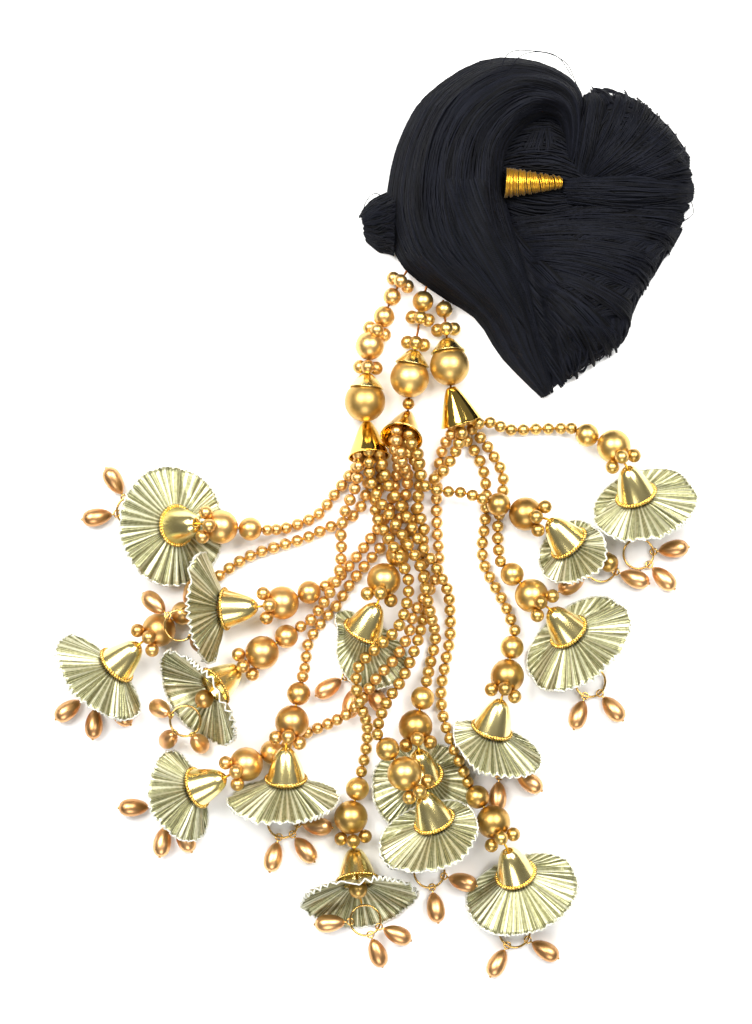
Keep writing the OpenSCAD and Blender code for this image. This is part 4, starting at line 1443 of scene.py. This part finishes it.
@dataclass
class Tassel(Numbered):
    """Beads, bell, ring and drops at the end of a string, and the string itself, in millimetres."""

    ring_from_big: float = 7.2
    ring_spread: float = 4.3
    ring_angles: tuple[int, ...] = (90, 10, 170)
    granules: int = 42
    granule_wire: float = 0.34
    mouth_depth: float = 0.4
    straight_out: float = 1.5
    string_depth: float = 4.9
    knot_spread: float = 1.2
    string_pitch: float = 0.985
    string_step: float = 0.8

    def __post_init__(self) -> None:
        """Works the places out."""
        self.at = TasselPlace(self.index)
        self.plate = Finish.ROSY if self.at.rosy else Finish.BEAD

    def ends(self, cone: ConePlace, spread: Array, line: Array) -> Object:
        """The thread at both ends of the string: in its cone, and through the tassel to the jump ring.

        Args:
            cone: The cone.
            spread: Direction from the cone's axis to this string.
            line: The line of the beads.

        Returns:
            The two pieces of thread.
        """
        at = self.at
        knot = cone.top + self.string_depth * cone.axis + self.knot_spread * spread
        wire = at.jump + RINGS.ring * unit(level(at.inner - at.jump))
        hold = wire + (RINGS.wire + BEADS.thread + BEADS.gap) * unit(at.inner - wire)
        way = [line[-1], at.mid, at.big, at.apex - BEADS.bore * at.bell, at.rim, at.inner, hold]
        shape = Shape()
        shape.tube(resample(np.array([knot, line[0]]), 6), BEADS.thread, 6)
        shape.tube(resample(np.array(way), 26), BEADS.thread, 6)
        return shape.build("thread_ends", self.kit.gold)

    def string(self, tree: Tree, bead: Object) -> None:
        """Makes the string, its beads touching from cone to middle bead.

        Args:
            tree: The tree that strings beads.
            bead: The bead that it repeats.
        """
        row, angle, route = STRINGS[self.index]
        cone, at = ConePlace(row), self.at
        spread = round_axis(cone.axis, angle)
        start = cone.mouth + cone.spread * spread
        end = at.mid + (BEADS.middle + BEADS.gap + BEADS.small * 0.9) * at.mid_dir
        line = smooth_path([start - self.mouth_depth * cone.axis, start + self.straight_out * cone.axis,
                            *route, end], self.string_step)
        line[:, 2] = np.maximum(line[:, 2], BEADS.strung + 0.05)
        count = int(round(path_length(line) / (2 * BEADS.strung * self.string_pitch))) + 1
        obj = line_object(f"bead_string_{self.number}", [line], [0.5])
        tree.run(obj, bead=bead, count=count, thread_radius=BEADS.thread * MM, seed=self.index,
                 bead_material=self.kit.metals[self.plate], thread_material=self.kit.gold)
        seated(joined(obj.name, obj, self.ends(cone, spread, line)), "gold_bead", f"string_{self.number}")

    def beaded_rim(self, shape: Shape) -> None:
        """Adds the beaded wire round the bell's rim.

        Args:
            shape: The mesh that it is added to.
        """
        at, radius, sides = self.at, BELL.rim + BEADS.gap, 40
        shape.tube(at.rim + (radius - 0.1) * round_axis(at.bell, np.linspace(0, 360, sides, endpoint=False)),
                   self.granule_wire, 6, 2, closed=True)
        grain = np.array([[0.05, -0.62], [0.46, -0.44], [0.64, 0], [0.46, 0.44], [0.05, 0.62]])
        ring = at.rim + radius * round_axis(at.bell, np.linspace(0, 360, self.granules, endpoint=False))
        for k, spot in enumerate(ring):
            shape.revolve(grain, spot, np.cross(at.bell, unit(spot - at.rim)), 8, 2, (k * 0.37) % 1)

    @staticmethod
    def drop(shape: Shape, spot: Array, d: Array, tone: float) -> None:
        """Adds one drop with its loop and pin.

        Args:
            shape: The mesh that it is added to.
            spot: Where its loop hangs on the ring.
            d: Its direction.
            tone: Value of the tone attribute.
        """
        turn = np.linspace(0, 2 * math.pi, 18, endpoint=False)
        loop = spot + (RINGS.loop * np.column_stack([np.cos(turn), 0 * turn, np.sin(turn)])) @ frame_of(d).T
        shape.tube(loop, RINGS.loop_wire, 6, 3, closed=True)
        shape.tube(np.array([spot + RINGS.loop * d, spot + (RINGS.loop + 1.2) * d]), RINGS.loop_wire, 6, 3)
        shape.revolve(drop_profile()[::-1], spot, d, 22, 4, tone)
        end = RINGS.loop + RINGS.neck + RINGS.length
        a = np.linspace(0, math.pi / 2, 5)
        pin = np.column_stack([RINGS.pin * np.cos(a), end - 0.1 + RINGS.pin * 0.8 * np.sin(a)])
        pin[-1, 0] = AXIS_POINT
        shape.revolve(pin, spot, d, 10, 3)

    def build(self) -> None:
        """Makes the tassel's metal."""
        at, rng, shape = self.at, np.random.default_rng(70 + self.index), Shape()
        shape.bead(at.mid, BEADS.middle, at.mid_dir, BEADS.bore, 28, 0, rng.random())
        shape.bead(at.big, BEADS.big, at.mid_dir - at.neck, BEADS.bore, 36, 0, rng.random())
        for a in self.ring_angles:
            spot = at.big + self.ring_from_big * at.neck + self.ring_spread * round_axis(at.neck, a)
            shape.bead(spot, BEADS.ring, at.neck + 0.3 * round_axis(at.neck, a + 90), BEADS.ring_bore, 20, 0,
                       rng.random())
        shape.revolve(cup_profile(BELL, 14), at.apex, at.bell, 40, 1)
        self.beaded_rim(shape)
        shape.bead(at.inner, BEADS.inner, at.bell, BEADS.bore, 24, 0, rng.random())
        u = np.linspace(0, 2 * math.pi, 48, endpoint=False)
        for jump in at.jumps.values():
            ring = jump + RINGS.ring * np.column_stack([np.cos(u), np.sin(u), 0.012 * np.sin(3 * u)])
            shape.tube(ring, RINGS.wire, 8, 3, closed=True)
        for spot, d in at.drops():
            self.drop(shape, spot, d, rng.random())
        metals = [self.kit.metals[f]
                  for f in (self.plate, Finish.BELL, Finish.ROPE, Finish.WIRE, Finish.DROP)]
        seated(shape.build(f"tassel_metal_{self.number}", *metals), "gold_bead", f"tassel_{self.number}")


@dataclass
class Ruffle(Numbered):
    """The pleated ribbon under a bell, with its edge thread, in millimetres."""

    pleats: int = 38
    per_pleat: int = 6
    rows: int = 11
    inner: float = 5.0
    start: float = 1.7
    push_out: float = 0.35
    wall: float = 0.34
    low_wave: float = 0.35
    hem_wave: float = 0.85
    flutter: float = 0.9
    fold: float = 0.38
    hem_wire: float = 0.30
    floor: float = 0.45
    least: float = 0.01

    def __post_init__(self) -> None:
        """Works the places out and draws where its waves start."""
        self.at = TasselPlace(self.index)
        self.rng = np.random.default_rng(100 + self.index)
        self.phase = self.rng.uniform(0, 2 * math.pi, 4)

    def surface(self, angle: Array, s: Array, offset: Array) -> Array:
        """Points on the ruffle.

        Args:
            angle: Place round the bell, in degrees.
            s: Place from the inner edge to the hem, from 0 to 1.
            offset: Distance off the surface, in millimetres.

        Returns:
            One point for each place.
        """
        flare, width, lowest, highest, forward, crushed, crushed_at, opposite = RUFFLES[self.index]
        a = self.at.bell
        e = round_axis(a, angle)
        sf, cf = math.sin(math.radians(flare)), math.cos(math.radians(flare))
        side = np.cos(np.radians(angle - crushed_at))
        reach = width * s * (1 - crushed * np.maximum(0, side) - opposite * np.maximum(0, -side))
        base = (self.at.rim + (self.inner + reach * sf)[..., None] * e
                + (self.start + reach * cf)[..., None] * a)
        low = np.maximum(0, lowest - base[..., 2])
        high = np.maximum(0, base[..., 2] - highest) * np.minimum(1, 3 * s)
        press = np.minimum(1, (low + high) / 3)[..., None]
        front = unit(level(a))
        cos_rise = math.cos(math.radians(self.at.bell_rise))
        sign_low = 1.0 if -sf * a[2] - cf * cos_rise > 0 else -1.0
        sign_high = 1.0 if cf * cos_rise - sf * a[2] > 0 else -1.0
        n_flat = np.zeros_like(e)
        n_flat[..., 2] = np.where(low > 0, sign_low, sign_high)
        n = unit((1 - press) * (cf * e - sf * a) + press * n_flat)
        spot = base + self.push_out * (low[..., None] * (level(e) + forward * front)
                                       + high[..., None] * front)
        spot[..., 2] += low - high
        spot = spot + (offset * (1 - press[..., 0] / 3))[..., None] * n
        spot[..., 2] = np.maximum(spot[..., 2], self.floor)
        return spot

    def wave(self, angle: Array, s: Array) -> Array:
        """Height of the pleats and of the hem's slower waves.

        Args:
            angle: Place round the bell, in degrees.
            s: Place from the inner edge to the hem, from 0 to 1.

        Returns:
            The height at each place, in millimetres.
        """
        turn, phase, fold = np.radians(angle), self.phase, self.fold
        drift = 0.8 * np.sin(4 * turn + phase[0]) + 0.3 * np.sin(7 * turn + phase[3])
        pleat = (self.pleats * turn / (2 * math.pi) + drift) % 1.0
        zigzag = np.where(pleat < fold, pleat / fold, (1 - pleat) / (1 - fold)) * 2 - 1
        tall = (self.low_wave + (self.hem_wave - self.low_wave) * s) * (1 + 0.3 * np.sin(6 * turn + phase[2]))
        slow = np.sin(5 * turn + phase[1]) + 0.7 * np.sin(9 * turn + phase[2])
        return tall * zigzag + self.flutter * 0.5 * slow * np.clip(s - 0.35, 0, 1) ** 1.5 * 1.9

    def build(self) -> None:
        """Makes the ribbon and its edge thread."""
        n = self.pleats * self.per_pleat
        angle, s = np.meshgrid(360 * np.arange(n) / n, np.linspace(0, 1, self.rows))
        back, front = (self.surface(angle, s, self.wave(angle, s) + k * self.wall / 2) for k in (-1, 1))
        uv = np.stack(np.meshgrid(np.linspace(0, 1, n + 1), np.linspace(0, 1, self.rows)), -1)
        shape = Shape()
        shape.grid(np.concatenate([back, front[::-1]]), np.concatenate([uv, uv[::-1], uv[:1]]), 0, True,
                   self.rng.random(), True, True)
        cloth = shape.build(f"ruffle_ribbon_{self.number}", self.kit.ribbon)
        m = np.arange(n * 2)
        around, edge = 360 * m / len(m), np.ones(len(m))
        zig = np.where(m % 6 < 3, 0.01, -0.01)
        hem = Shape()
        hem.tube(self.surface(around, edge + zig, self.wave(around, edge) + 0.1), self.hem_wire, 5,
                 closed=True)
        wire = hem.build(f"ruffle_edge_{self.number}", self.kit.hem)
        for piece in (cloth, wire):
            seated(piece, "metallic_ribbon", f"ruffle_{self.number}")


# ---- the whole

@dataclass
class Studio:
    """Floor, lights and camera."""

    distance: float = 800.0
    lens_above: float = 5.0
    pixel: float = 0.35
    frame: tuple[int, int] = (752, 1024)
    shot_at: tuple[float, float] = (376.0, 512.0)
    zero_at: tuple[float, float] = (371.0, 511.0)
    sensor: float = 36.0
    floor_half: float = 1.6
    # Name, place, size, power and tint of each light, in metres and watts
    LIGHTS: ClassVar[list[tuple]] = [
        ("left_panel", (-0.42, 0.42, 0.95), 0.62, 17.5, (1, 0.99, 0.97)),
        ("right_panel", (0.42, 0.42, 0.95), 0.62, 15.5, (1, 0.99, 0.97)),
        ("front_panel", (0.0, -0.85, 0.75), 0.5, 4.5, (1, 1, 1)),
    ]

    def floor(self, material: Material) -> None:
        """The pale surface that the part lies on.

        Args:
            material: What it is made of.
        """
        mesh, r = bpy.data.meshes.new("table_top"), self.floor_half
        mesh.from_pydata([(-r, -r, 0), (r, -r, 0), (r, r, 0), (-r, r, 0)], [], [(0, 1, 2, 3)])
        mesh.materials.append(material)
        linked("table_top", mesh)

    def lights(self) -> None:
        """Soft square lights that face the part, with a plain bright surround."""
        for name, at, size, power, tint in self.LIGHTS:
            data = bpy.data.lights.new(name, "AREA")
            data.shape, data.size, data.energy, data.color = "SQUARE", size, power, tint
            obj = linked(name, data)
            obj.location = at
            obj.rotation_mode = "QUATERNION"
            obj.rotation_quaternion = Vector(np.array(at) - np.array([0, 0, 0.01])).to_track_quat("Z", "Y")
        world = bpy.data.worlds.new("soft_surround")
        world.use_nodes = True
        back = world.node_tree.nodes["Background"]
        back.inputs["Color"].default_value = (0.93, 0.95, 1.0, 1)
        back.inputs["Strength"].default_value = 0.17
        bpy.context.scene.world = world
        bpy.context.scene.view_settings.view_transform = "Standard"

    def camera(self) -> None:
        """Camera straight above, framed as the photograph is."""
        data = bpy.data.cameras.new("overhead")
        data.sensor_width = self.sensor
        data.lens = self.sensor * self.distance / (self.frame[1] * self.pixel)
        x = (self.shot_at[0] - self.zero_at[0]) * self.pixel
        y = (self.zero_at[1] - self.shot_at[1]) * self.pixel
        obj = linked("overhead", data)
        obj.location = place(np.array([x, y, self.distance + self.lens_above]))
        bpy.context.scene.camera = obj


class Paranda:
    """The whole ornament."""

    def __init__(self) -> None:
        """Makes the materials."""
        self.kit = Kit()

    def bead_template(self) -> Object:
        """The small bead that the strings repeat.

        Returns:
            The bead, which the caller removes.
        """
        shape = Shape()
        shape.bead(MIDDLE.copy(), BEADS.strung, np.array([0, 0, 1.0]), 0.5, 16)
        return shape.build("small_bead", self.kit.metals[Finish.BEAD])

    def build(self, frame: dict) -> None:
        """Makes every piece.
        """
        Hank(self.kit).build()
        Winding(self.kit).build()
        for i in range(len(CONES)):
            Strand(self.kit, i).build()
            materials = frame["nodes"][f"strand_thread_{i + 1}"].data.materials
            materials.clear()
            materials.append(self.kit.gold)
        bead, tree = self.bead_template(), bead_string_tree()
        for i in range(len(TASSELS)):
            tassel = Tassel(self.kit, i)
            tassel.string(tree, bead)
            tassel.build()
            Ruffle(self.kit, i).build()
        bpy.data.objects.remove(bead)


def main() -> None:
    """Loads the frame, dresses it and sets the studio up."""
    logging.basicConfig(level=logging.INFO, format="%(name)s: %(message)s")
    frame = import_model()
    paranda = Paranda()
    paranda.build(frame)
    studio = Studio()
    studio.floor(paranda.kit.floor())
    studio.lights()
    studio.camera()


if __name__ == "__main__":
    main()
